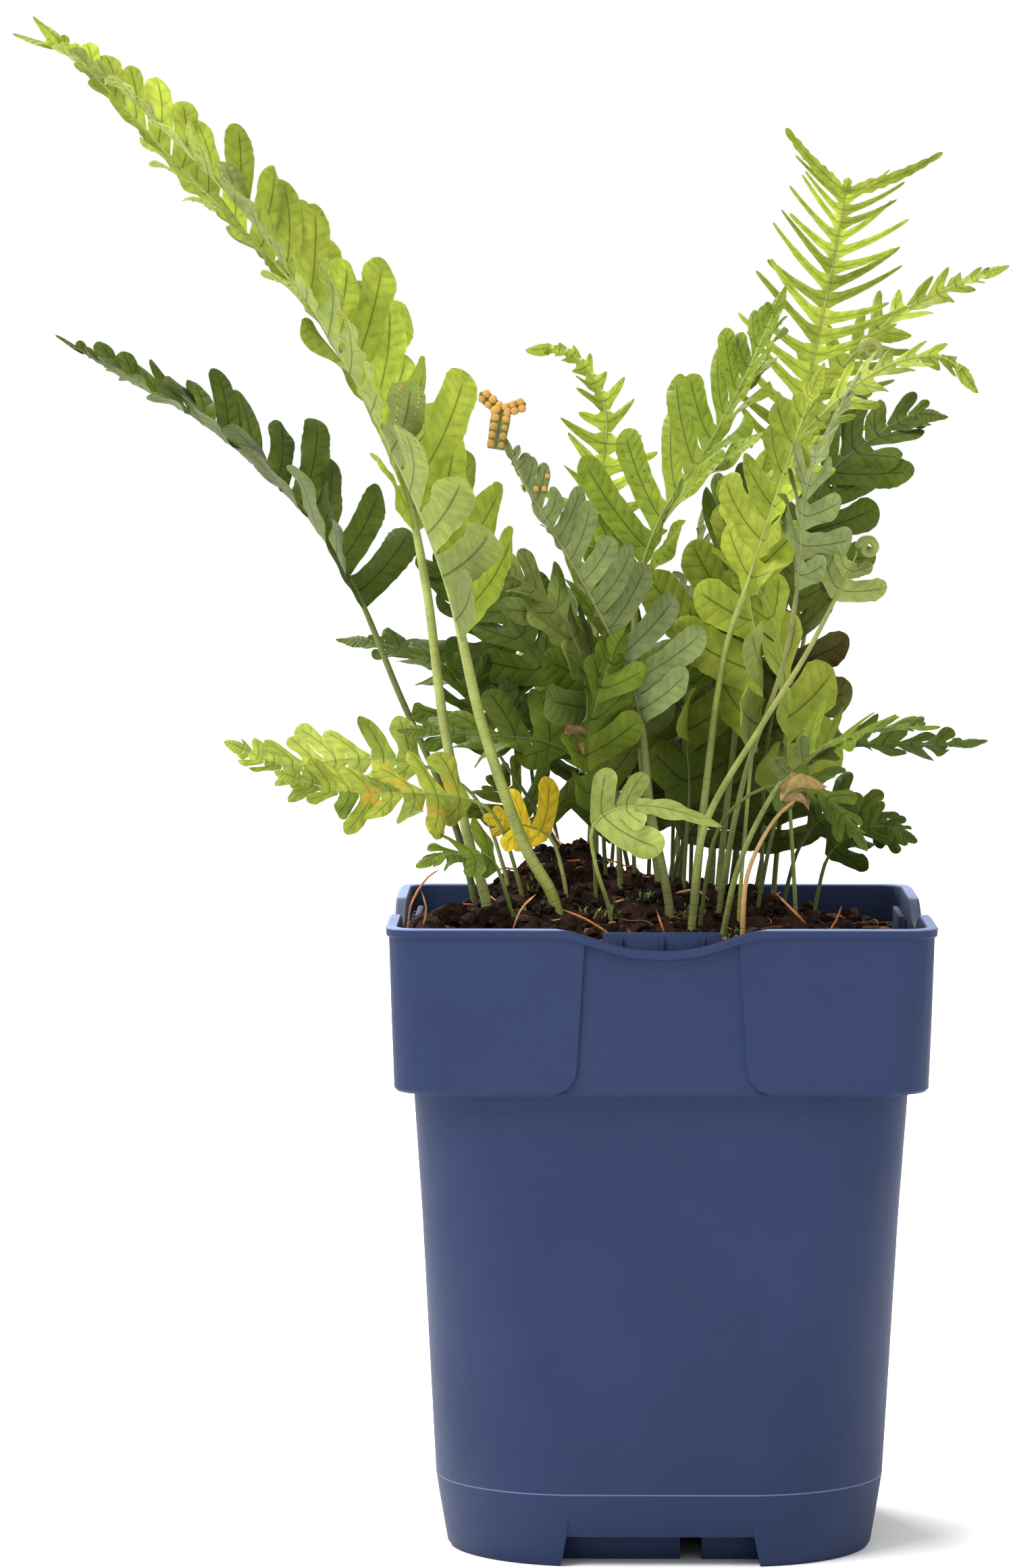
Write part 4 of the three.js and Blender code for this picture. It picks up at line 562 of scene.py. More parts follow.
class Grower:
    """Makes closed shapes in one mesh from grids whose points a formula puts in place."""

    JOIN = 0.002

    def __init__(self):
        self.mesh = bmesh.new()
        self.uv = self.mesh.loops.layers.uv.new("leaf")
        self.paint = self.mesh.loops.layers.float_color.new("leaf_paint")

    def grid(self, columns, rows, place, uv=None, paint=None):
        """A grid with its points at place(s, t), where s and t run from 0 to 1 across and along it."""
        made = bmesh.ops.create_grid(self.mesh, x_segments=columns, y_segments=rows, size=0.5)["verts"]
        spots = {v: (v.co.x + 0.5, v.co.y + 0.5) for v in made}
        uvs = {v: uv(*spot) for v, spot in spots.items()} if uv else None
        paints = {v: paint(*spot) for v, spot in spots.items()} if paint else None
        for face in faces_of(made):
            for loop in face.loops:
                if uvs:
                    loop[self.uv].uv = uvs[loop.vert]
                if paints:
                    loop[self.paint] = paints[loop.vert]
        for v in made:
            v.co = place(*spots[v])
        return made

    def sheet(self, columns, rows, face, length, tint):
        """Both sides of a leaf, joined along the rim: face(1) and face(-1) place the points of each."""
        made = []
        for way, under in ((1, 0.0), (-1, 1.0)):
            made += self.grid(columns, rows, face(way), uv=lambda s, t: (s, t * length),
                              paint=lambda s, t, under=under: (tint, under, LEAF_MARK, t))
        self.close(made)

    def ball(self, spot, size, stretch, detail, paint, turn=None):
        """A small ball, stretched, turned and put in place; paint gives the colour at each face's corner."""
        made = bmesh.ops.create_icosphere(self.mesh, subdivisions=detail, radius=size)["verts"]
        bmesh.ops.scale(self.mesh, vec=stretch, verts=made)
        matrix = Matrix.Translation(spot)
        if turn:
            matrix = matrix @ turn.to_4x4()
        bmesh.ops.transform(self.mesh, matrix=matrix, verts=made)
        for face in faces_of(made):
            for loop in face.loops:
                loop[self.paint] = paint()

    def close(self, verts):
        """Joins the meeting edges of one shape, without touching its neighbours."""
        bmesh.ops.remove_doubles(self.mesh, verts=verts, dist=self.JOIN)

    def finish(self, name, material, nodes=(), merge=JOIN, angle=50):
        if merge:
            bmesh.ops.remove_doubles(self.mesh, verts=self.mesh.verts, dist=merge)
        bmesh.ops.dissolve_degenerate(self.mesh, edges=self.mesh.edges, dist=0.001)
        bmesh.ops.recalc_face_normals(self.mesh, faces=self.mesh.faces)
        return finish_piece(self.mesh, name, material, nodes, angle)


def finish_piece(bm, name, material, nodes, angle):
    """Puts a mesh in millimetres into the scene in metres, on the body root, in place of its nodes."""
    bmesh.ops.scale(bm, vec=(MM, MM, MM), verts=bm.verts)
    mesh = bpy.data.meshes.new(name)
    bm.to_mesh(mesh)
    bm.free()
    mesh.shade_smooth()
    mesh.set_sharp_from_angle(angle=math.radians(angle))
    piece = add_object(name, mesh)
    mesh.materials.append(material)
    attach(piece, "root")
    if nodes:
        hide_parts(*nodes)


def grow_stalk(grower, axis):
    """A tapering stalk from below the soil to the frond's tip, flattened into a midrib in the blade."""
    frond = axis.frond
    rows = max(10, int(axis.line.total / STALK_ROW))
    last = rows + UNDER_ROWS

    def place(s, t):
        row = round(t * last)
        if row < UNDER_ROWS:
            point = axis.under.lerp(axis.start, row / UNDER_ROWS)
            _, _, up, side = axis.turned(0, axis.lean)
            share = 0.0
        else:
            share = (row - UNDER_ROWS) / rows
            point, _, up, side = axis.turned(share)
        reach = axis.thickness(share)
        if frond.pairs:
            reach *= mix(1.0, 0.62, smooth(frond.bare * 0.9, frond.bare * 1.1 + 0.05, share))
            reach *= mix(1.0, 0.5, smooth(0.9, 1.0, share))
        if row in (0, last):
            reach = 0.0
        groove = 1 - GROOVE * max(0.0, math.cos(s * FULL_TURN)) ** 4
        return point + ring(s, up * reach * groove, side * reach)

    made = grower.grid(STALK_SIDES, last, place, uv=lambda s, t: (0.5, t * axis.line.total / LEAF_MAP),
                       paint=lambda s, t: (0.5, 0.0, STALK_MARK, t))
    grower.close(made)


def leaf_half_width(leaflet, r, tooth_depth):
    """Half the leaflet's width: nearly even sides, a blunt end and small rounded teeth."""
    widest = 0.49 * leaflet.breadth
    if leaflet.fork_end:
        widest = FORK_HALF
        profile = mix(1.7, 0.7, r) * (0.75 + 0.35 * abs(math.sin(math.pi * r * FORK_LOBES)))
    elif leaflet.axis.frond.tapered:
        profile = mix(0.95, 0.34, r**0.8)
    else:
        profile = 0.92 + 0.06 * math.sin(math.pi * r) + 0.16 * smooth(0.45, 0.85, r)
    from_tip = min(1.0, (1 - r) * leaflet.length / max(widest, 0.6))
    profile *= math.sqrt(max(0.0, from_tip * (2 - from_tip)))
    teeth = abs(math.sin(math.pi * (r * leaflet.length / TOOTH_SPACING + leaflet.k)))
    toothed = 1 - tooth_depth * (1 - teeth) * smooth(0.1, 0.25, r)
    return widest * profile * toothed


def leaf_swell(v, t, thickness, narrowness):
    """Half the thickness of a leaf at v across and t along it: thin at the rim, thicker at the midrib."""
    return thickness * (1 - v**4) * (0.6 + 0.9 * math.exp(-(v * narrowness) ** 2)) * (1 - t**8)


def grow_leaflet(grower, leaflet, rng, tooth_depth, thickness, lively):
    """A thin arched leaflet with wavy toothed edges; gives back the formulas of its under and upper side."""
    axis = leaflet.axis
    rows = max(10, int(leaflet.length / LEAF_ROW))
    near = axis.line.at(axis.share_of(leaflet.k))
    far = axis.line.at(axis.share_of(leaflet.k + 1))
    twist = rng.uniform(-0.9, 0.9) * lively
    wave = rng.uniform(0.3, 1.0) * lively
    waves = rng.uniform(0.45, 0.8)
    phase = rng.uniform(0, ANY_TURN)
    cup = rng.uniform(-1.1, 0.2) * lively
    droop = rng.uniform(-0.2, 0.04) * lively
    tint = rng.uniform(0, 1)
    known = {}

    def middle(s, t):
        """The sheet's own surface: t runs from the midrib to the tip, s across."""
        v = s * 2 - 1
        row = t * rows
        if row < 0.5:
            return near.lerp(far, s)
        if row < 1.5:
            return near.lerp(far, s) + leaflet.across * WING_HALF * 0.8
        r = 1 - (1 - (row - 1) / (rows - 1)) ** TIP_CROWDING
        lateral = leaflet.tangent.lerp(leaflet.crosswise, smooth(0.0, 0.3, r)).normalized()
        turn = twist * r * r
        lateral = lateral * math.cos(turn) + leaflet.normal * math.sin(turn)
        full = mix(leaflet.pitch * 0.5, leaf_half_width(leaflet, r, tooth_depth), smooth(0.0, 0.14, r))
        edge = v * v * min(1.0, full / 2.5)
        ripple = wave * math.sin(r * leaflet.length * waves + phase + v * 1.3) * smooth(0.05, 0.35, r)
        bow = leaflet.normal * (edge * (cup + ripple) + droop * leaflet.length * max(0.0, r - 0.35) ** 2)
        return leaflet.centre(r) + lateral * v * full + bow

    def face(way):
        def place(s, t):
            if (s, t) not in known:
                known[(s, t)] = middle(s, t)
            return known[(s, t)] + leaflet.normal * leaf_swell(s * 2 - 1, t, thickness, 7) * way
        return place

    grower.sheet(LEAF_COLUMNS, rows, face, leaflet.length / LEAF_MAP, tint)
    return face(-1), face(1)


def grow_spores(grower, leaflet, place, outward, size, mark, rng):
    """Two rows of spore cases below a leaflet, or of the bumps that they raise on its upper side."""
    if not size:
        return
    height, lift = CASE_FORMS[mark]
    turn = leaflet.normal.to_track_quat("Z", "Y").to_matrix()
    count = max(2, int(leaflet.length * 0.62 / (size * CASE_SPACING)))
    for side in CASE_COLUMNS:
        for i in range(count):
            if rng.random() < MISSING_CASES:
                continue
            spot = place(side, 0.3 + 0.56 * (i + rng.uniform(-0.2, 0.2)) / count)
            grower.ball(spot + outward * (size * lift), size * rng.uniform(0.8, 1.1), (1, 1, height), 1,
                        lambda: (rng.random(), 0.0, mark, 0.5), turn)


def grow_tip(grower, axis, tooth_depth, thickness):
    """The single lobe at the end of the blade."""
    frond = axis.frond
    rows = max(10, int(axis.lobe * axis.line.total * (1 - frond.bare) / LEAF_ROW))
    room = 0.6 * axis.line.total * (1 - axis.blade_end)
    widest = min(0.36 * axis.pitch, 3.4 if axis.lobe > 0.3 else 2.4, room)

    def face(way):
        def place(s, t):
            v = s * 2 - 1
            point, _, up, side = axis.turned(mix(axis.blade_end - 0.01, 1.0, t))
            if frond.lobe:
                lobed = 0.72 + 0.28 * abs(math.cos(math.pi * t * 2.6))
            else:
                lobed = 1 - tooth_depth * 1.5 * abs(math.cos(math.pi * t * 4))
            half = mix(WING_HALF, widest * 1.1, hump(t * 1.2 + 0.1)) * lobed
            half *= math.sqrt(max(0.0, 1 - t**4))
            return point + side * v * half + up * (leaf_swell(v, t, thickness, 6) * way - 0.25 * v * v)
        return place

    grower.sheet(6, rows, face, 0.3, 0.5)


def grow_crest(grower, rng):
    """Upright lobes at a frond's tip, each with two rows of fat spore cases on its front."""
    front = Vector((0, -1, 0))
    for start, end, half, count in CREST_LOBES:
        start, end = Vector(start), Vector(end)
        side = (end - start).normalized().cross(front)

        def place(s, t, way, start=start, end=end, side=side, half=half):
            v = s * 2 - 1
            width = half * mix(0.8, 1.1, t) * math.sqrt(max(0.0, 1 - t**6))
            return start.lerp(end, t) + side * v * width + front * way * CREST_HALF_THICK * (1 - v**4)

        for way in (1, -1):
            made = grower.grid(6, 10, lambda s, t, way=way: place(s, t, way), uv=lambda s, t: (s, t * 0.2),
                               paint=lambda s, t: (0.5, 1.0, LEAF_MARK, t * 0.6))
            grower.close(made)
        for i in range(2 * count):
            spot = start.lerp(end, (i // 2 + 0.6) / (count + 0.3)) + side * half * 0.52 * (-1) ** i
            spot += front * 0.3
            size = CREST_CASE * rng.uniform(0.85, 1.1)
            grower.ball(spot, size, (1, 0.7, 1), 2, lambda: (0.75, 0.0, SPORE_MARK, 0.5))


def grow_coil(grower, axis):
    """The tightly rolled tip of a young frond."""
    coil = axis.frond.coil
    point, tangent, up, side = axis.turned(1.0)
    centre = point + side * coil

    def spot(t):
        angle = COIL_TURNS * FULL_TURN * t
        reach = coil * (1 - 0.6 * max(0.0, t))
        return centre - side * reach * math.cos(angle) + tangent * reach * math.sin(angle)

    def place(s, t):
        t = mix(-0.06, 1.0, t)
        forward = (spot(t + 0.01) - spot(t - 0.01)).normalized()
        outward = forward.cross(up).normalized()
        closed = t < -0.05 or t > 0.999
        reach = 0.0 if closed else coil * mix(0.46, 0.3, t)
        knobs = 1 + 0.16 * abs(math.sin(t * 22)) * max(0.0, -math.cos(s * FULL_TURN))
        return spot(t) + ring(s, outward * reach * knobs, up * reach)

    made = grower.grid(STALK_SIDES, COIL_ROWS, place, uv=lambda s, t: (0.5, t),
                       paint=lambda s, t: (0.5, 0.0, STALK_MARK, t))
    grower.close(made)


def build_frond(frond, settings):
    """One frond over its plain solid: stalk, leaflets with their spore cases, and its tip."""
    rng = random.Random(frond.name)
    axis = Axis(frond)
    grower = Grower()
    thickness = settings.leaf_thickness / MM / 2
    grow_stalk(grower, axis)
    for leaflet in leaflets_of(axis):
        under, upper = grow_leaflet(grower, leaflet, rng, settings.tooth_depth, thickness,
                                    settings.liveliness)
        if leaflet.u > frond.spores_from and leaflet.length > SHORTEST_WITH_CASES:
            grow_spores(grower, leaflet, under, -leaflet.normal, frond.spores_below, SPORE_MARK, rng)
            grow_spores(grower, leaflet, upper, leaflet.normal, frond.spores_above, LEAF_MARK, rng)
    if frond.name == CRESTED_FROND:
        grow_crest(grower, rng)
    if frond.pairs and not frond.coil:
        grow_tip(grower, axis, settings.tooth_depth, thickness)
    if frond.coil:
        grow_coil(grower, axis)
    grower.finish("leaf_" + frond.name, leaf_material(frond.tone), (frond.name,), merge=0)


# The pot

def notch_dip(x):
    """How far the rim dips at a place along a side."""
    t = min(1.0, abs(x) / NOTCH_HALF)
    return NOTCH_DEPTH * 0.5 * (1 + math.cos(math.pi * t**1.25))


def between(rows, level):
    """Half size and corner radius at a level of a profile."""
    ordered = sorted(rows)
    for low, high in zip(ordered, ordered[1:]):
        if level <= high[0]:
            t = (level - low[0]) / (high[0] - low[0])
            return mix(low[1], high[1], max(0.0, t)), mix(low[2], high[2], max(0.0, t))
    return ordered[-1][1:]


def panel_edge(level):
    """Half width of the centre panel, or of the foot's notch low down."""
    if level < FOOT_NOTCH_TOP:
        return mix(FOOT_NOTCH_BOTTOM_HALF, FOOT_NOTCH_TOP_HALF, level / FOOT_NOTCH_TOP)
    if level < COLLAR_BOTTOM:
        t = smooth(FOOT_NOTCH_TOP, COLLAR_BOTTOM, level)
        return mix(FOOT_NOTCH_TOP_HALF, PANEL_BOTTOM_HALF + PANEL_CORNER, t)
    straight = mix(PANEL_BOTTOM_HALF, PANEL_TOP_HALF, (level - COLLAR_BOTTOM) / (POT_HEIGHT - COLLAR_BOTTOM))
    if level >= COLLAR_BOTTOM + PANEL_CORNER:
        return straight
    drop = (COLLAR_BOTTOM + PANEL_CORNER - level) / PANEL_CORNER
    return straight + PANEL_CORNER * (1 - math.sqrt(max(0.0, 1 - drop * drop)))


def wall_point(rows, column, level, recessed):
    """A point of the pot's wall: columns run round it, with two of them along each panel's edge."""
    half, corner = between(rows, level)
    quarter, place = divmod(column, 2 * OCTANT_COLUMNS)
    step = place - OCTANT_COLUMNS
    straight = half - corner
    total = straight + corner * math.pi / 4
    edge = min(panel_edge(level), total - 4)
    count = abs(step)
    inside_edge = count <= EDGE_COLUMN
    if inside_edge:
        run = count / EDGE_COLUMN * (edge - EDGE_WIDTH / 2)
    else:
        share = (count - EDGE_COLUMN - 1) / (OCTANT_COLUMNS - EDGE_COLUMN - 1)
        run = edge + EDGE_WIDTH / 2 + share * (total - edge - EDGE_WIDTH / 2)
    in_collar = COLLAR_BOTTOM + 0.2 < level < POT_HEIGHT - 2.1
    depth = PANEL_DEPTH if recessed and inside_edge and in_collar else 0.0
    if run <= straight:
        x, y, nx, ny = run, -half, 0.0, -1.0
    else:
        angle = (run - straight) / corner
        nx, ny = math.sin(angle), -math.cos(angle)
        x, y = straight + corner * nx, -straight + corner * ny
    way = 1 if step >= 0 else -1
    x *= way
    nx *= way
    point = Vector((x - nx * depth, y - ny * depth, level))
    point.z -= notch_dip(x) * smooth(POT_HEIGHT - 9, POT_HEIGHT - 2.4, level)
    if inside_edge and level < FOOT_NOTCH_TOP and rows is OUTSIDE:
        point.z = FOOT_NOTCH_HEIGHT + level * 0.15
    return quarter_turn(quarter) @ point


def build_pot():
    """One closed shell, from under the floor round the foot and over the rim to the inside, with its tabs."""
    grower = Grower()
    corner_levels = [COLLAR_BOTTOM + PANEL_CORNER * share for share in PANEL_CORNER_STEPS]
    outside = spread(sorted([row[0] for row in OUTSIDE] + corner_levels), 6.0)
    inside = spread([row[0] for row in INSIDE], 9.0)
    columns = 8 * OCTANT_COLUMNS
    levels = [("floor", FLOOR_BOTTOM)] + [("foot", row[0]) for row in FOOT_INSIDE]
    levels += [("out", z) for z in outside] + [("in", z) for z in inside] + [("middle", FLOOR_TOP)]

    def place(s, t):
        kind, level = levels[round(t * (len(levels) - 1))]
        column = round(s * columns) % columns
        if kind in ("floor", "middle"):
            return Vector((0, 0, level))
        if kind == "foot":
            point = wall_point(FOOT_INSIDE, column, level, False)
            step = abs(column % (2 * OCTANT_COLUMNS) - OCTANT_COLUMNS)
            if step <= EDGE_COLUMN:
                point.z = FOOT_NOTCH_HEIGHT
            return point
        return wall_point(OUTSIDE if kind == "out" else INSIDE, column, level, kind == "out")

    grower.grid(columns, len(levels) - 1, place)
    for quarter in range(4):
        turn = quarter_turn(quarter)
        add_label_tab(grower.mesh, turn)
        add_inner_foot(grower.mesh, turn, quarter in (0, 2))
    height = FLOOR_BOTTOM + SUNK
    hub = bmesh.ops.create_cone(grower.mesh, cap_ends=True, segments=32, radius1=HUB_RADIUS,
                                radius2=HUB_RADIUS, depth=height)
    bmesh.ops.translate(grower.mesh, vec=(0, 0, height / 2), verts=hub["verts"])
    grower.finish("nursery_pot", pot_material(), ("pot",), merge=0.01, angle=32)


def spread(levels, most):
    """Levels with more put in where two of them lie far apart."""
    out = [levels[0]]
    for level in levels[1:]:
        start = out[-1]
        gap = level - start
        count = max(1, math.ceil(abs(gap) / most))
        out += [start + gap * (i + 1) / count for i in range(count)]
    return out


def add_block(bm, low, high, bevel, turn=None):
    """A box between two corners with its edges rounded."""
    made = bmesh.ops.create_cube(bm, size=1)["verts"]
    bmesh.ops.scale(bm, vec=[b - a for a, b in zip(low, high)], verts=made)
    bmesh.ops.translate(bm, vec=[(a + b) / 2 for a, b in zip(low, high)], verts=made)
    edges = list(dict.fromkeys(edge for v in made for edge in v.link_edges))
    result = bmesh.ops.bevel(bm, geom=made + edges, offset=bevel, segments=2, affect="EDGES", profile=0.5,
                             material=-1)
    if turn:
        bmesh.ops.transform(bm, matrix=turn.to_4x4(), verts=result["verts"])
    return result["verts"]


def add_label_tab(bm, turn):
    """The chamfered plate behind a notch, its ledge and its three upright ribs."""
    front = -TAB_FRONT
    verts = add_block(bm, (-TAB_HALF, front, TAB_BOTTOM), (TAB_HALF, front + TAB_THICK, TAB_TOP), 0.3)
    for v in verts:
        lift = max(0.0, v.co.z - (TAB_TOP - TAB_CHAMFER))
        v.co.x -= math.copysign(lift, v.co.x) if abs(v.co.x) > TAB_HALF - 2 else 0.0
    bmesh.ops.transform(bm, matrix=turn.to_4x4(), verts=verts)
    add_block(bm, (-TAB_HALF, -LEDGE_FRONT, TAB_BOTTOM), (TAB_HALF, front + 0.4, TAB_BOTTOM + LEDGE_THICK),
              0.2, turn)
    for place in (-RIB_SPACING, 0, RIB_SPACING):
        add_block(bm, (place - RIB_HALF, front - RIB_DEPTH, TAB_TOP - RIB_LENGTH),
                  (place + RIB_HALF, front + 0.3, TAB_TOP - 0.9), 0.1, turn)


def add_inner_foot(bm, turn, open_gap):
    """One side of the low wall under the floor, with its gap on the front and back."""
    low, high = -INNER_FOOT_HALF, -INNER_FOOT_HALF + INNER_FOOT_THICK
    end = INNER_FOOT_HALF - 13
    half_gap = INNER_GAP_WIDTH / 2
    spans = [(-end, end)]
    if open_gap:
        spans = [(-end, INNER_GAP_CENTRE - half_gap), (INNER_GAP_CENTRE + half_gap, end)]
    for left, right in spans:
        add_block(bm, (left, low, 0.0), (right, high, FLOOR_BOTTOM + SUNK), 0.2, turn)


# The soil

def soil_point(s, t):
    """The soil's surface from the middle (t = 0) out to the pot's wall (t = 1), then down beside it."""
    angle = s * FULL_TURN
    direction = Vector((math.cos(angle), math.sin(angle)))
    half, corner = between(INSIDE, SOIL_EDGE_LEVEL - 3)
    half -= 0.15
    reach = half / max(abs(direction.x), abs(direction.y))
    straight = half - corner
    edge = direction * reach
    if abs(edge.x) > straight and abs(edge.y) > straight:
        centre = Vector((math.copysign(straight, edge.x), math.copysign(straight, edge.y)))
        along = direction.dot(centre)
        reach = along + math.sqrt(max(0.0, along * along - centre.length_squared + corner * corner))
    share = min(1.0, t / SURFACE_SHARE)
    x, y = direction * reach * share
    z = soil_height(x, y)
    spot = Vector((x, y, z))
    lumps = noise.fractal(spot * 0.16, 0.9, 2.1, 5) * 1.5 + noise.fractal(spot * 0.6, 1.0, 2.0, 3) * 0.7
    z += lumps * smooth(0.0, 0.04, 1.0 - share) - 0.3
    if t > SURFACE_SHARE:
        z -= (t - SURFACE_SHARE) / (1 - SURFACE_SHARE) * SOIL_SKIRT
    return Vector((x, y, z))


def build_soil():
    """The mound's surface with its lumps, closed by a plain floor deep in the pot."""
    grower = Grower()

    def place(s, t):
        if t == 1.0:
            return Vector((0, 0, SOIL_EDGE_LEVEL - 20))
        return soil_point(s, t * (SOIL_ROWS / (SOIL_ROWS - 1)))

    grower.grid(SOIL_COLUMNS, SOIL_ROWS, place)
    grower.finish("peat", soil_material(), ("soil",), merge=0.02, angle=180)


def soil_spot(rng, spread_share=0.92):
    """A random place on the soil's surface."""
    s, t = rng.random(), math.sqrt(rng.random()) * spread_share
    return soil_point(s, t * SURFACE_SHARE)


# Clods of peat heaped by the wall: place and size
CLODS = (
    (-46, -42, 3.4), (-42, -38, 4.2), (-38, -43, 3.0), (-47, -34, 3.0), (-33, -40, 3.4), (-26, -43, 2.6),
    (-18, -38, 3.2), (-30, -26, 3.6), (28, -40, 3.0), (33, -36, 3.6), (37, -41, 2.6), (22, -36, 2.8),
    (46, -44, 2.2), (49, -46, 1.6), (-49, -47, 1.8), (41, -34, 2.4), (-12, -40, 2.2), (8, -38, 2.4),
)
CRUMB_SIZES = (0.35, 0.45, 0.6, 0.8, 1.1, 1.5)
# Crumbs are made in batches of this many, because a small mesh is quicker to work on than a large one
CRUMB_BATCH = 50


def add_crumb(bm, rng):
    """One rough crumb somewhere on the mound."""
    spot = soil_spot(rng)
    size = rng.choice(CRUMB_SIZES) * rng.uniform(0.8, 1.2)
    made = bmesh.ops.create_icosphere(bm, subdivisions=1, radius=size)["verts"]
    for v in made:
        v.co *= rng.uniform(0.7, 1.25)
    stretch = Vector((rng.uniform(0.7, 1.4), rng.uniform(0.7, 1.4), rng.uniform(0.5, 1.0)))
    bmesh.ops.scale(bm, vec=stretch, verts=made)
    bmesh.ops.rotate(bm, verts=made, matrix=Matrix.Rotation(rng.uniform(0, ANY_TURN), 3, "Z"))
    bmesh.ops.translate(bm, vec=spot + Vector((0, 0, size * 0.25)), verts=made)


def build_crumbs(count):
    """Loose crumbs and clods of peat lying on the mound."""
    rng = random.Random(7)
    bm = bmesh.new()
    for x, y, size in CLODS:
        made = bmesh.ops.create_icosphere(bm, subdivisions=3, radius=size)["verts"]
        centre = Vector((x, y, soil_height(x, y) + size * 0.15))
        for v in made:
            lumps = noise.fractal((v.co + centre) * 0.35, 0.8, 2.2, 4)
            v.co = centre + Vector((v.co.x, v.co.y, v.co.z * 0.8)) * (1 + 0.55 * lumps)
    batch = bmesh.new()
    for number in range(count):
        add_crumb(batch, rng)
        if number % CRUMB_BATCH == 0 or number == count - 1:
            gathered = bpy.data.meshes.new("crumb_batch")
            batch.to_mesh(gathered)
            bm.from_mesh(gathered)
            bpy.data.meshes.remove(gathered)
            batch.clear()
    batch.free()
    finish_piece(bm, "peat_crumbs", soil_material(), (), 40)


STRAND_ROW = 1.6


def grow_strand(grower, points, radius, tint):
    """A thin four-sided strand through points, tapering to both ends."""
    line = Line(points, (points[1] - points[0]).normalized())
    rows = max(4, int(line.total / STRAND_ROW))

    def place(s, t):
        forward = line.tangent(t)
        side = forward.cross(Vector((0.3, 0.2, 0.93))).normalized()
        up = side.cross(forward)
        size = radius * hump(0.08 + t * 0.84) ** 0.4 if 0 < t < 1 else 0.0
        return line.at(t) + ring(s, side * size, up * size)

    grower.grid(4, rows, place, paint=lambda s, t: (tint, 0.0, t, 1.0))


# Thick orange roots that arch out of the peat, as points along each
ROOT_ARCS = (
    ((-51, -44, 127), (-50, -44, 134), (-47, -43, 139), (-44, -42, 141)),
    ((-48, -44, 128), (-47, -45, 133), (-48, -46, 137)), ((-30, -42, 128), (-28, -43, 133), (-25, -43, 136)),
    ((-20, -44, 133), (-15, -45, 131), (-10, -46, 128)), ((1, -45, 127), (0, -46, 130), (-1, -46, 133)),
    ((23, -42, 136), (26, -43, 133), (29, -43, 130)), ((33, -43, 128), (35, -44, 131), (36, -44, 134)),
)
ROOT_ARC_RADIUS = 0.24
FIBRE_LENGTHS = (4, 6, 8, 11, 15)
FIBRE_RADII = (0.1, 0.15, 0.24)


def build_fibres(count):
    """Coarse tan and orange fibres and rootlets that stick out of the peat."""
    rng = random.Random(11)
    grower = Grower()
    for points in ROOT_ARCS:
        grow_strand(grower, [Vector(p) for p in points], ROOT_ARC_RADIUS, rng.uniform(0.35, 0.9))
    for _ in range(count):
        start = soil_spot(rng, 0.97) - Vector((0, 0, 0.5))
        heading = rng.uniform(0, ANY_TURN)
        length = rng.choice(FIBRE_LENGTHS) * rng.uniform(0.8, 1.2)
        rise = rng.uniform(0.0, 0.45)
        points = [start]
        for i in range(1, 4):
            heading += rng.uniform(-0.8, 0.8)
            step = Vector((math.cos(heading), math.sin(heading), rise - 0.35 * i * rng.random()))
            points.append(points[-1] + step * (length / 3))
        points = [keep_inside(p) for p in points]
        grow_strand(grower, points, rng.choice(FIBRE_RADII), rng.random())
    grower.finish("peat_fibres", fibre_material(), (), merge=0.001, angle=60)


def keep_inside(point):
    """A place moved in so that it stays within the pot's rim."""
    limit = RIM_HALF - 5.0
    return Vector((max(-limit, min(limit, point.x)), max(-limit, min(limit, point.y)), point.z))


# Tufts of moss: their places, blades and reach
MOSS_PLACES = (
    (-24, -9), (-3, -20), (5, -25), (-31, -30), (16, -36),
    (-12, -30), (30, -30), (-6, 6), (20, 20), (-34, 20),
)
TUFT_BLADES = 46
TUFT_REACH = 4.2


def grow_moss_blade(grower, x, y, rng):
    """One leaning blade of moss in the tuft at a place."""
    around, out = rng.uniform(0, ANY_TURN), rng.random() ** 0.7 * TUFT_REACH
    foot_x, foot_y = x + math.cos(around) * out, y + math.sin(around) * out
    foot = Vector((foot_x, foot_y, soil_height(foot_x, foot_y) - 0.6))
    lean = Vector((rng.uniform(-0.6, 0.6), rng.uniform(-0.6, 0.6), 1)).normalized()
    tall = rng.uniform(0.8, 2.2)
    turn = rng.uniform(0, ANY_TURN)
    side = Vector((math.cos(turn), math.sin(turn), 0))
    across = side.cross(lean)
    tint = rng.random()

    def place(s, t):
        reach = 0.32 * hump(t * 0.8 + 0.2) if 0 < t < 1 else 0.0
        bow = side * t * t * tall * 0.4
        return foot + lean * tall * t + bow + ring(s, across * reach, side * reach * 0.35)

    grower.grid(4, 3, place, paint=lambda s, t: (tint, 0.0, t, 1.0))


def build_moss():
    """Small tufts of moss and seedlings on the peat."""
    rng = random.Random(5)
    grower = Grower()
    for x, y in MOSS_PLACES:
        for _ in range(TUFT_BLADES):
            grow_moss_blade(grower, x, y, rng)
    grower.finish("moss_tufts", moss_material(), (), merge=0.001, angle=60)


# Old leaflets lying on the peat: place, length, turn and tint from brown to yellow
LYING_SCRAPS = (
    (20, -40, 5.2, 0.4, 0.1), (26, -34, 4.4, 2.0, 0.3), (33, -42, 3.8, 1.1, 0.2), (-14, -41, 2.6, 0.5, 0.3),
    (2, -42, 2.4, 2.6, 0.95), (22, -46, 6.5, 1.3, 0.05), (38, -46, 3.6, 4.0, 0.2), (12, -44, 3.0, 5.0, 0.4),
    (-42, -44, 3.0, 0.9, 0.3), (40, 20, 4.0, 2.2, 0.2), (-30, 34, 4.2, 1.4, 0.4),
)
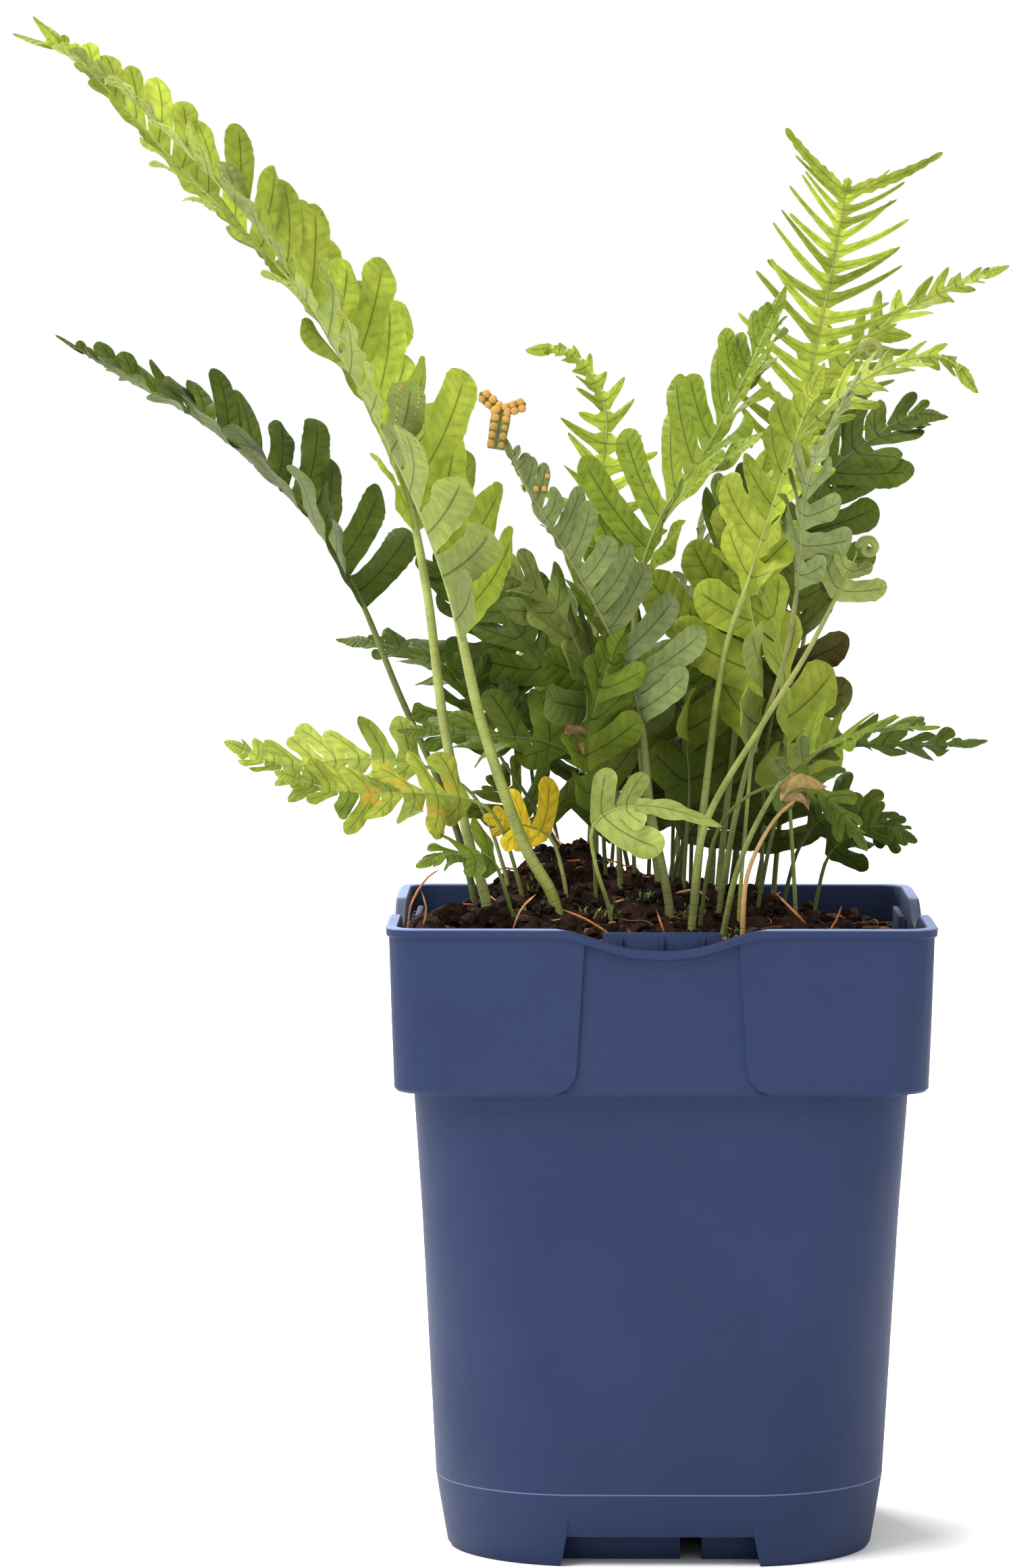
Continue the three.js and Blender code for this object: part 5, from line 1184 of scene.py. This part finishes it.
# Dried scraps caught on a frond: the frond, a place near it, length, turn and tint
CAUGHT_SCRAPS = (
    ("frond_centre_broad", (-22, -40, 168), 3.6, 0.9, 0.3),
    ("frond_centre_broad", (-20, -40, 165), 2.6, 2.3, 0.36),
    ("dry_stalk", (28.5, -52, 158), 6.5, 0.6, 0.62), ("dry_stalk", (26, -52, 155), 4.0, 2.6, 0.5),
)


def grow_scrap(grower, middle, size, turn, tint, rng):
    """One shrivelled scrap of leaf, rolled up along its length."""
    along = Vector((math.cos(turn), math.sin(turn) * 0.6, rng.uniform(0.1, 0.6))).normalized()
    side = along.cross(Vector((0, 0, 1))).normalized()
    up = side.cross(along)

    def place(s, t, way):
        v = s * 2 - 1
        half = size * 0.34 * hump(t) ** 0.6 * (1 + 0.25 * math.sin(t * 19))
        curl = up * (0.5 * size * v * v * math.sin(math.pi * t) + 0.18 * size * math.sin(5 * t))
        return middle + along * size * (t - 0.5) * 1.6 + side * v * half + curl + up * way * 0.09 * (1 - v**4)

    for way in (1, -1):
        grower.grid(6, 12, lambda s, t, way=way: place(s, t, way), uv=lambda s, t: (s, t * 0.2),
                    paint=lambda s, t: (tint, 0.0, t, 1.0))


def build_scraps():
    """Dry brown and yellow scraps of old leaflets, on the peat and caught in the fronds."""
    rng = random.Random(3)
    grower = Grower()
    for x, y, size, turn, tint in LYING_SCRAPS:
        grow_scrap(grower, Vector((x, y, soil_height(x, y) + 0.9)), size, turn, tint, rng)
    for name, near, size, turn, tint in CAUGHT_SCRAPS:
        grow_scrap(grower, tree_of(name).find_nearest(Vector(near))[0], size, turn, tint, rng)
    grower.finish("leaf_scraps", scrap_material(), (), merge=0.001, angle=70)


# Materials

class Shader:
    """A short way to place and link the nodes of one material or node group."""

    def __init__(self, tree):
        self.tree = tree

    def put(self, node, key, value):
        if isinstance(value, bpy.types.NodeSocket):
            self.tree.links.new(value, node.inputs[key])
        else:
            node.inputs[key].default_value = value

    def node(self, kind, inputs=None, **settings):
        made = self.tree.nodes.new(kind)
        for key, value in settings.items():
            setattr(made, key, value)
        for key, value in (inputs or {}).items():
            self.put(made, key, value)
        return made

    def math(self, operation, a, b=0.0):
        return self.node("ShaderNodeMath", {0: a, 1: b}, operation=operation).outputs[0]

    def plus(self, a, b):
        return self.math("ADD", a, b)

    def minus(self, a, b):
        return self.math("SUBTRACT", a, b)

    def times(self, a, b):
        return self.math("MULTIPLY", a, b)

    def size(self, a):
        return self.math("ABSOLUTE", a)

    def vector(self, operation, a, b=(0.0, 0.0, 0.0), output=0):
        return self.node("ShaderNodeVectorMath", {0: a, 1: b}, operation=operation).outputs[output]

    def ramp(self, value, low, high, start=0.0, end=1.0):
        inputs = {"Value": value, "From Min": low, "From Max": high, "To Min": start, "To Max": end}
        return self.node("ShaderNodeMapRange", inputs, interpolation_type="SMOOTHSTEP").outputs[0]

    def blend(self, share, a, b):
        """A mixed with b by a share; either may be a socket, a web colour or red, green and blue."""
        made = self.node("ShaderNodeMix", {0: share}, data_type="RGBA")
        for key, value in ((6, a), (7, b)):
            self.put(made, key, value if isinstance(value, bpy.types.NodeSocket) else colour(value))
        return made.outputs[2]

    def shade(self, value, level, saturation=1.0):
        inputs = {"Color": value, "Value": level, "Saturation": saturation}
        return self.node("ShaderNodeHueSaturation", inputs).outputs[0]

    def noise(self, vector, scale, detail=4.0):
        inputs = {"Vector": vector, "Scale": scale, "Detail": detail, "Roughness": 0.6}
        return self.node("ShaderNodeTexNoise", inputs).outputs["Fac"]

    def bump(self, height, strength, distance):
        inputs = {"Height": height, "Strength": strength, "Distance": distance}
        return self.node("ShaderNodeBump", inputs).outputs[0]

    def place(self):
        return self.node("ShaderNodeTexCoord").outputs["Object"]

    def paint(self):
        """The piece's paint: its colour in three parts, and its alpha."""
        paint = self.node("ShaderNodeAttribute", attribute_name="leaf_paint").outputs
        return self.node("ShaderNodeSeparateColor", {"Color": paint["Color"]}).outputs, paint["Alpha"]

    def solid(self, body, rough, bump, gloss):
        inputs = {"Base Color": body, "Roughness": rough, "Normal": bump, "Specular IOR Level": gloss}
        return self.node("ShaderNodeBsdfPrincipled", inputs).outputs[0]

    def glowing(self, share, solid, glow):
        """A solid finish that lets a share of the light through, as the glow node does."""
        return self.node("ShaderNodeMixShader", {0: share, 1: solid, 2: glow.outputs[0]}).outputs[0]

    def output(self, surface):
        self.node("ShaderNodeOutputMaterial", {"Surface": surface})

    def link(self, start, end):
        self.tree.links.new(start, end)


def linear(part):
    return part / 12.92 if part <= 0.04045 else ((part + 0.055) / 1.055) ** 2.4


def colour(value):
    """Blender's own colour for a web colour such as 7fb03a, or for red, green and blue as they are."""
    if isinstance(value, str):
        value = [linear(int(value[i:i + 2], 16) / 255) for i in (0, 2, 4)]
    return (*list(value)[:3], 1.0)


def new_material(name):
    material = bpy.data.materials.new(name)
    material.use_nodes = True
    material.node_tree.nodes.clear()
    return material, Shader(material.node_tree)


def grain_group():
    """Two sizes of even noise, as a fine height and a soft cloud, shared by the solid finishes."""
    found = bpy.data.node_groups.get("Fine grain")
    if found:
        return found
    group = bpy.data.node_groups.new("Fine grain", "ShaderNodeTree")
    for name in ("Fine Scale", "Cloud Scale"):
        group.interface.new_socket(name, in_out="INPUT", socket_type="NodeSocketFloat")
    for name in ("Fine", "Cloud"):
        group.interface.new_socket(name, in_out="OUTPUT", socket_type="NodeSocketFloat")
    shader = Shader(group)
    entry = shader.node("NodeGroupInput")
    end = shader.node("NodeGroupOutput")
    place = shader.place()
    shader.link(shader.noise(place, entry.outputs["Fine Scale"], 3.0), end.inputs["Fine"])
    shader.link(shader.noise(place, entry.outputs["Cloud Scale"], 4.0), end.inputs["Cloud"])
    return group


def grain(shader, fine, cloud):
    """The fine height and the soft cloud of the grain, at two scales."""
    inputs = {"Fine Scale": fine, "Cloud Scale": cloud}
    made = shader.node("ShaderNodeGroup", inputs, node_tree=grain_group())
    return made.outputs["Fine"], made.outputs["Cloud"]


def marks_group():
    """A leaflet's markings from its UV map: midrib, side veins, rim and the swelling between the veins."""
    found = bpy.data.node_groups.get("Leaflet markings")
    if found:
        return found
    group = bpy.data.node_groups.new("Leaflet markings", "ShaderNodeTree")
    for name in ("Rib", "Veins", "Edge", "Swell"):
        group.interface.new_socket(name, in_out="OUTPUT", socket_type="NodeSocketFloat")
    shader = Shader(group)
    end = shader.node("NodeGroupOutput")
    spot = shader.node("ShaderNodeUVMap", uv_map="leaf").outputs["UV"]
    parts = shader.node("ShaderNodeSeparateXYZ", {"Vector": spot}).outputs
    across = shader.size(shader.times(shader.minus(parts["X"], 0.5), 2.0))
    down = shader.times(parts["Y"], LEAF_MAP)
    slanted = shader.minus(shader.math("DIVIDE", down, VEIN_SPACING), shader.times(across, VEIN_SLANT))
    from_line = shader.size(shader.minus(shader.math("FRACT", slanted), 0.5))
    fading = shader.ramp(across, 0.55, 0.9, 1.0, 0.0)
    shader.link(shader.ramp(across, 0.02, 0.065, 1.0, 0.0), end.inputs["Rib"])
    shader.link(shader.ramp(across, 0.9, 1.0), end.inputs["Edge"])
    shader.link(shader.times(shader.ramp(from_line, 0.0, 0.09, 1.0, 0.0), fading), end.inputs["Veins"])
    swelling = shader.times(shader.ramp(from_line, 0.0, 0.4), shader.ramp(across, 0.1, 0.4))
    shader.link(swelling, end.inputs["Swell"])
    return group


# For each tone: upper side, underside, the colour it is mottled with and how much, how much light comes
# through, and the stalk. The tones are partly the fronds' own greens and partly painted light and shade: the
# low and inner fronds get the darker tones as painted shade, the tall outer ones the bright tones as painted
# light
TONES = {
    "bright": ("8e9a34", "8e9a56", "b4be4c", 0.7, 0.5, "8f9756"),
    "fresh": ("708424", "7e8a4a", "98a63a", 0.65, 0.44, "848c4a"),
    "mid": ("5a6e1c", "6e7a44", "808e2e", 0.6, 0.36, "6c743e"),
    "deep": ("48591a", "66703f", "627224", 0.6, 0.28, "5e6636"),
    "grey": ("69783a", "7e8956", "8e984c", 0.6, 0.32, "787c48"),
    "pale": ("8c9c3c", "8c9856", "bac05c", 0.7, 0.42, "8f9756"),
    "spotted": ("829438", "889252", "c6c24c", 0.8, 0.4, "8f9756"),
    "yellow": ("d4bc20", "c2ac36", "eee04c", 0.8, 0.42, "9a9f62"),
    "palest": ("889648", "8c9860", "acb864", 0.6, 0.38, "848c4a"),
    "stem": ("7e8a46", "7e8a46", "9aa45c", 0.5, 0.25, "868c4c"),
    "browned": ("5e6c24", "626e3a", "52381e", 0.8, 0.3, "6e763e"),
    "dry": ("9a7850", "8e6e46", "b4905e", 0.6, 0.05, "9a7a50"),
}
SPORE_COLOUR = "bfa04e"
RUSTY_SPORE_COLOUR = "a87a40"
WORN_COLOUR = "8a6a34"
# Tones with blots, and the blots' colour
BLOTS = {"spotted": "b89a3a", "browned": "4a2c1c"}
# The shaded heart of the plant: its middle and its half sizes in metres, and how dark it is
HEART_CENTRE = (0.0, 0.006, 0.158)
HEART_SIZE = (0.052, 0.046, 0.05)
HEART_SHADE = 0.5


def heart_shade(shader, place):
    """How dark a leaf is by its place: the heart of the plant gets less light than its outside."""
    away = shader.vector("DIVIDE", shader.vector("SUBTRACT", place, HEART_CENTRE), HEART_SIZE)
    return shader.ramp(shader.vector("LENGTH", away, output="Value"), 0.3, 1.05, HEART_SHADE, 1.0)


def leaf_material(tone):
    """The finish of a frond: a mottled blade with midribs and veins, its stalk and its spore cases."""
    name = "polypody_" + tone
    if name in bpy.data.materials:
        return bpy.data.materials[name]
    upper, lower, patch, patchy, through, stem = TONES[tone]
    material, shader = new_material(name)
    marks = shader.node("ShaderNodeGroup", node_tree=marks_group()).outputs
    (tint, under, mark), along = shader.paint()
    place = shader.place()
    cloud = shader.noise(place, 55.0, 3.0)
    mottle = shader.noise(place, 420.0, 4.0)
    stalk = shader.math("LESS_THAN", mark, mix(STALK_MARK, LEAF_MARK, 0.5))
    spore = shader.math("GREATER_THAN", mark, mix(LEAF_MARK, SPORE_MARK, 0.5))

    # The blade, from its ground colour to its worn tip
    body = shader.blend(shader.ramp(cloud, 0.42, 0.68, 0.0, patchy), upper, patch)
    body = shader.blend(shader.times(tint, 0.4), body, patch)
    body = shader.blend(shader.ramp(under, 0.0, 1.0, 0.0, 0.9), body, lower)
    body = shader.shade(body, shader.ramp(mottle, 0.3, 0.7, 0.88, 1.1))
    body = shader.shade(body, shader.ramp(marks["Swell"], 0.0, 1.0, 0.98, 1.03))
    rib = shader.times(marks["Rib"], shader.ramp(along, 0.62, 0.84, 0.8, 0.0))
    body = shader.blend(rib, body, shader.shade(body, 0.45))
    body = shader.blend(shader.times(marks["Veins"], 0.14), body, shader.shade(body, 0.8))
    # A lighter rim round each leaflet: partly its own paler margin, partly painted glow of light through the
    # thin edge
    body = shader.blend(shader.times(marks["Edge"], 0.4), body, shader.shade(body, 1.3))
    if tone in BLOTS:
        blot = shader.ramp(shader.noise(place, 130.0, 2.0), 0.58, 0.66, 0.0, 0.8)
        body = shader.blend(blot, body, BLOTS[tone])
    worn = shader.times(shader.ramp(along, 0.8, 1.0), shader.ramp(shader.noise(place, 90.0, 2.0), 0.55, 0.7))
    body = shader.blend(shader.times(worn, 0.6), body, WORN_COLOUR)

    # The stalk and the spore cases, and the light by place and by leaflet
    stalk_shade = shader.ramp(shader.noise(place, 160.0, 3.0), 0.3, 0.7, 0.8, 1.15)
    stem_body = shader.blend(shader.ramp(cloud, 0.4, 0.7, 0.0, 0.4), stem, upper)
    body = shader.blend(stalk, body, shader.shade(stem_body, stalk_shade))
    spore_body = shader.blend(tint, SPORE_COLOUR, RUSTY_SPORE_COLOUR)
    body = shader.blend(spore, body, shader.shade(spore_body, stalk_shade))
    body = shader.shade(body, heart_shade(shader, place))
    body = shader.shade(body, shader.ramp(tint, 0.0, 1.0, 0.84, 1.14))

    height = shader.plus(shader.times(marks["Veins"], -0.25), shader.times(mottle, 0.6))
    height = shader.plus(height, shader.times(marks["Swell"], 0.35))
    height = shader.plus(height, shader.times(rib, -1.0))
    bump = shader.bump(height, 0.7, 0.0004)
    solid = shader.solid(body, shader.ramp(mottle, 0.2, 0.8, 0.45, 0.62), bump, 0.14)
    glow = shader.node("ShaderNodeBsdfTranslucent", {"Color": shader.shade(body, 1.6, 0.84), "Normal": bump})
    thin = shader.minus(1.0, shader.math("MAXIMUM", stalk, spore))
    shader.output(shader.glowing(shader.times(thin, through), solid, glow))
    return material


def pot_material():
    """Matte moulded blue plastic with a fine leather grain, pale specks, a parting line and a painted
    highlight along the top of the rim.
    """
    material, shader = new_material("moulded_blue_plastic")
    fine, cloud = grain(shader, 2600, 26)
    place = shader.place()
    plain = tuple(bpy.context.scene.polypody.pot_colour)
    body = shader.blend(shader.ramp(cloud, 0.35, 0.7, 0.0, 0.55), plain, tuple(c * 0.86 for c in plain))
    specks = shader.node("ShaderNodeTexVoronoi", {"Vector": place, "Scale": 1300.0}).outputs["Distance"]
    scattered = shader.ramp(shader.noise(place, 90.0, 3.0), 0.5, 0.7)
    body = shader.blend(shader.times(shader.ramp(specks, 0.05, 0.14, 0.4, 0.0), scattered), body, "6f7ba6")
    height = shader.node("ShaderNodeSeparateXYZ", {"Vector": place}).outputs["Z"]
    seam = shader.ramp(shader.size(shader.minus(height, PARTING_LEVEL * MM)), 0.00006, 0.0002, 0.5, 0.0)
    body = shader.blend(seam, body, "7480a8")
    # Painted highlight: the top edge of the rim is lightened towards pale blue, as if light caught it
    rim = shader.ramp(height, (POT_HEIGHT - 0.5) * MM, (POT_HEIGHT - 0.05) * MM, 0.0, 0.75)
    body = shader.blend(rim, body, "8fa0d0")
    bump = shader.bump(shader.plus(fine, shader.times(seam, 2.0)), 0.22, 0.0003)
    shader.output(shader.solid(body, shader.ramp(cloud, 0.3, 0.7, 0.54, 0.64), bump, 0.2))
    return material


def soil_material():
    """Damp dark peat with lighter crumbs."""
    if "damp_peat" in bpy.data.materials:
        return bpy.data.materials["damp_peat"]
    material, shader = new_material("damp_peat")
    fine, cloud = grain(shader, 1500, 220)
    body = shader.blend(shader.ramp(cloud, 0.35, 0.7), "0e0704", "301b0e")
    crumbs = shader.ramp(shader.noise(shader.place(), 700.0, 2.0), 0.6, 0.7, 0.0, 0.6)
    body = shader.blend(crumbs, body, "6b4326")
    bump = shader.bump(shader.plus(shader.times(fine, 0.6), cloud), 0.9, 0.0012)
    shader.output(shader.solid(body, shader.ramp(cloud, 0.3, 0.7, 0.95, 0.75), bump, 0.12))
    return material


def painted_material(name, stops, roughness, translucent=0.0):
    """A finish whose colour runs through three stops by the first part of the piece's paint."""
    material, shader = new_material(name)
    tint = shader.paint()[0][0]
    body = shader.blend(shader.ramp(tint, 0.0, 0.5), stops[0], stops[1])
    body = shader.blend(shader.ramp(tint, 0.5, 1.0), body, stops[2])
    mottle = shader.noise(shader.place(), 900.0, 3.0)
    body = shader.shade(body, shader.ramp(mottle, 0.3, 0.7, 0.75, 1.2))
    surface = shader.solid(body, roughness, shader.bump(mottle, 0.5, 0.0003), 0.5)
    if translucent:
        glow = shader.node("ShaderNodeBsdfTranslucent", {"Color": body})
        surface = shader.glowing(translucent, surface, glow)
    shader.output(surface)
    return material


def fibre_material():
    return painted_material("rootlets", ("6a3414", "a8622c", "cc9c62"), 0.7)


def moss_material():
    return painted_material("moss", ("34501a", "5c7a24", "8ea03c"), 0.7, 0.2)


def scrap_material():
    return painted_material("old_leaf", ("3c2018", "8c6c44", "d4d038"), 0.6, 0.2)


# The stage

def floor_material():
    """Matte white with a faint painted glow that comes up away from the pot, so that it meets the white
    surround with no edge and the pot's cast shadow on it fades.
    """
    material, shader = new_material("white_floor")
    distance = shader.vector("LENGTH", shader.place(), output="Value")
    glow = shader.ramp(distance, *FLOOR_GLOW_REACH, 0.0, FLOOR_GLOW)
    inputs = {"Base Color": FLOOR_COLOUR, "Roughness": 0.9,
              "Emission Color": WHITE, "Emission Strength": glow}
    shader.output(shader.node("ShaderNodeBsdfPrincipled", inputs).outputs[0])
    return material


def build_stage(settings):
    """The white floor, the even surround, two soft lights and the camera."""
    bm = bmesh.new()
    bmesh.ops.create_grid(bm, x_segments=1, y_segments=1, size=FLOOR_SIZE)
    mesh = bpy.data.meshes.new("floor")
    bm.to_mesh(mesh)
    bm.free()
    mesh.materials.append(floor_material())
    add_object("floor", mesh)

    world = bpy.data.worlds.new("white_studio")
    world.use_nodes = True
    background = world.node_tree.nodes["Background"]
    background.inputs["Color"].default_value = WHITE
    background.inputs["Strength"].default_value = settings.surround_light
    bpy.context.scene.world = world
    bpy.context.scene.view_settings.view_transform = "Standard"

    for name, spot, share in LIGHTS:
        data = bpy.data.lights.new(name, "AREA")
        data.shape = "SQUARE"
        data.size = LIGHT_SIZE
        data.energy = settings.key_power * share
        lamp = add_object(name, data)
        lamp.location = spot
        lamp.rotation_euler = (Vector(spot) - Vector(LIGHT_AIM)).to_track_quat("Z", "Y").to_euler()

    data = bpy.data.cameras.new("camera")
    data.sensor_fit = "HORIZONTAL"
    data.sensor_width = SENSOR_WIDTH
    data.lens = CAMERA_LENS
    data.clip_end = 50
    camera = add_object("camera", data)
    camera.location = Vector(CAMERA_PLACE) * MM
    camera.rotation_euler = (math.pi / 2 - CAMERA_TILT, 0.0, CAMERA_TURN)
    bpy.context.scene.camera = camera


# What a user of the add-on can change, and the buttons that build each piece

class PolypodySettings(bpy.types.PropertyGroup):
    """Sizes and colours of the potted fern."""

    pot_colour: bpy.props.FloatVectorProperty(
        name="Pot colour", description="Colour of the moulded pot", size=3, subtype="COLOR", min=0, max=1,
        default=(0.0130, 0.0248, 0.0733))
    leaf_thickness: bpy.props.FloatProperty(
        name="Leaflet thickness", description="Thickness of a leaflet at its middle", default=0.00036,
        min=0.0001, max=0.001, unit="LENGTH")
    tooth_depth: bpy.props.FloatProperty(
        name="Tooth depth", description="Depth of the edge's teeth as a share of a leaflet's half width",
        default=0.07, min=0.0, max=0.3, subtype="FACTOR")
    crumb_count: bpy.props.IntProperty(
        name="Crumbs", description="Number of loose crumbs of peat", default=2000, min=0, max=4000)
    fibre_count: bpy.props.IntProperty(
        name="Fibres", description="Number of fibres in the peat", default=360, min=0, max=1000)
    surround_light: bpy.props.FloatProperty(
        name="Surround light", description="Strength of the even white light all round", default=1.0,
        min=0.0, max=5.0)
    key_power: bpy.props.FloatProperty(
        name="Key light", description="Power of the main soft light", default=26.0, min=0.0, max=500.0,
        unit="POWER")
    liveliness: bpy.props.FloatProperty(
        name="Liveliness", description="How much leaflets wave, twist and droop", default=1.0,
        min=0.0, max=2.0, subtype="FACTOR")


class POLYPODY_OT_pot(bpy.types.Operator):
    """Build the square nursery pot"""

    bl_idname = "polypody.pot"
    bl_label = "Pot"

    def execute(self, context):
        build_pot()
        return {"FINISHED"}


class POLYPODY_OT_soil(bpy.types.Operator):
    """Build the mound of peat"""

    bl_idname = "polypody.soil"
    bl_label = "Soil"

    def execute(self, context):
        build_soil()
        return {"FINISHED"}


class POLYPODY_OT_litter(bpy.types.Operator):
    """Scatter crumbs, fibres, moss and old leaflets on the peat"""

    bl_idname = "polypody.litter"
    bl_label = "Crumbs, fibres and moss"

    def execute(self, context):
        settings = context.scene.polypody
        build_crumbs(settings.crumb_count)
        build_fibres(settings.fibre_count)
        build_moss()
        build_scraps()
        return {"FINISHED"}


class POLYPODY_OT_fronds(bpy.types.Operator):
    """Grow every frond over its plain solid"""

    bl_idname = "polypody.fronds"
    bl_label = "Fronds"

    def execute(self, context):
        for frond in FRONDS:
            build_frond(frond, context.scene.polypody)
        return {"FINISHED"}


class POLYPODY_OT_stage(bpy.types.Operator):
    """Set the white floor, the soft lights and the camera"""

    bl_idname = "polypody.stage"
    bl_label = "Stage"

    def execute(self, context):
        build_stage(context.scene.polypody)
        return {"FINISHED"}


class POLYPODY_PT_panel(bpy.types.Panel):
    """Lists the pieces of the potted fern"""

    bl_idname = "POLYPODY_PT_panel"
    bl_label = "Potted Polypody"
    bl_space_type = "VIEW_3D"
    bl_region_type = "UI"
    bl_category = "Polypody"

    def draw(self, context):
        settings = context.scene.polypody
        for name in settings.bl_rna.properties.keys():
            if name not in ("rna_type", "name"):
                self.layout.prop(settings, name)
        for operator in OPERATORS:
            self.layout.operator(operator.bl_idname)


OPERATORS = (POLYPODY_OT_pot, POLYPODY_OT_soil, POLYPODY_OT_litter, POLYPODY_OT_fronds, POLYPODY_OT_stage)
CLASSES = (PolypodySettings, *OPERATORS, POLYPODY_PT_panel)


def register():
    for item in CLASSES:
        bpy.utils.register_class(item)
    bpy.types.Scene.polypody = bpy.props.PointerProperty(type=PolypodySettings)


def unregister():
    del bpy.types.Scene.polypody
    for item in reversed(CLASSES):
        bpy.utils.unregister_class(item)


def main():
    register()
    bpy.ops.polypody.pot()
    bpy.ops.polypody.soil()
    bpy.ops.polypody.litter()
    bpy.ops.polypody.fronds()
    bpy.ops.polypody.stage()


if __name__ == "__main__":
    main()
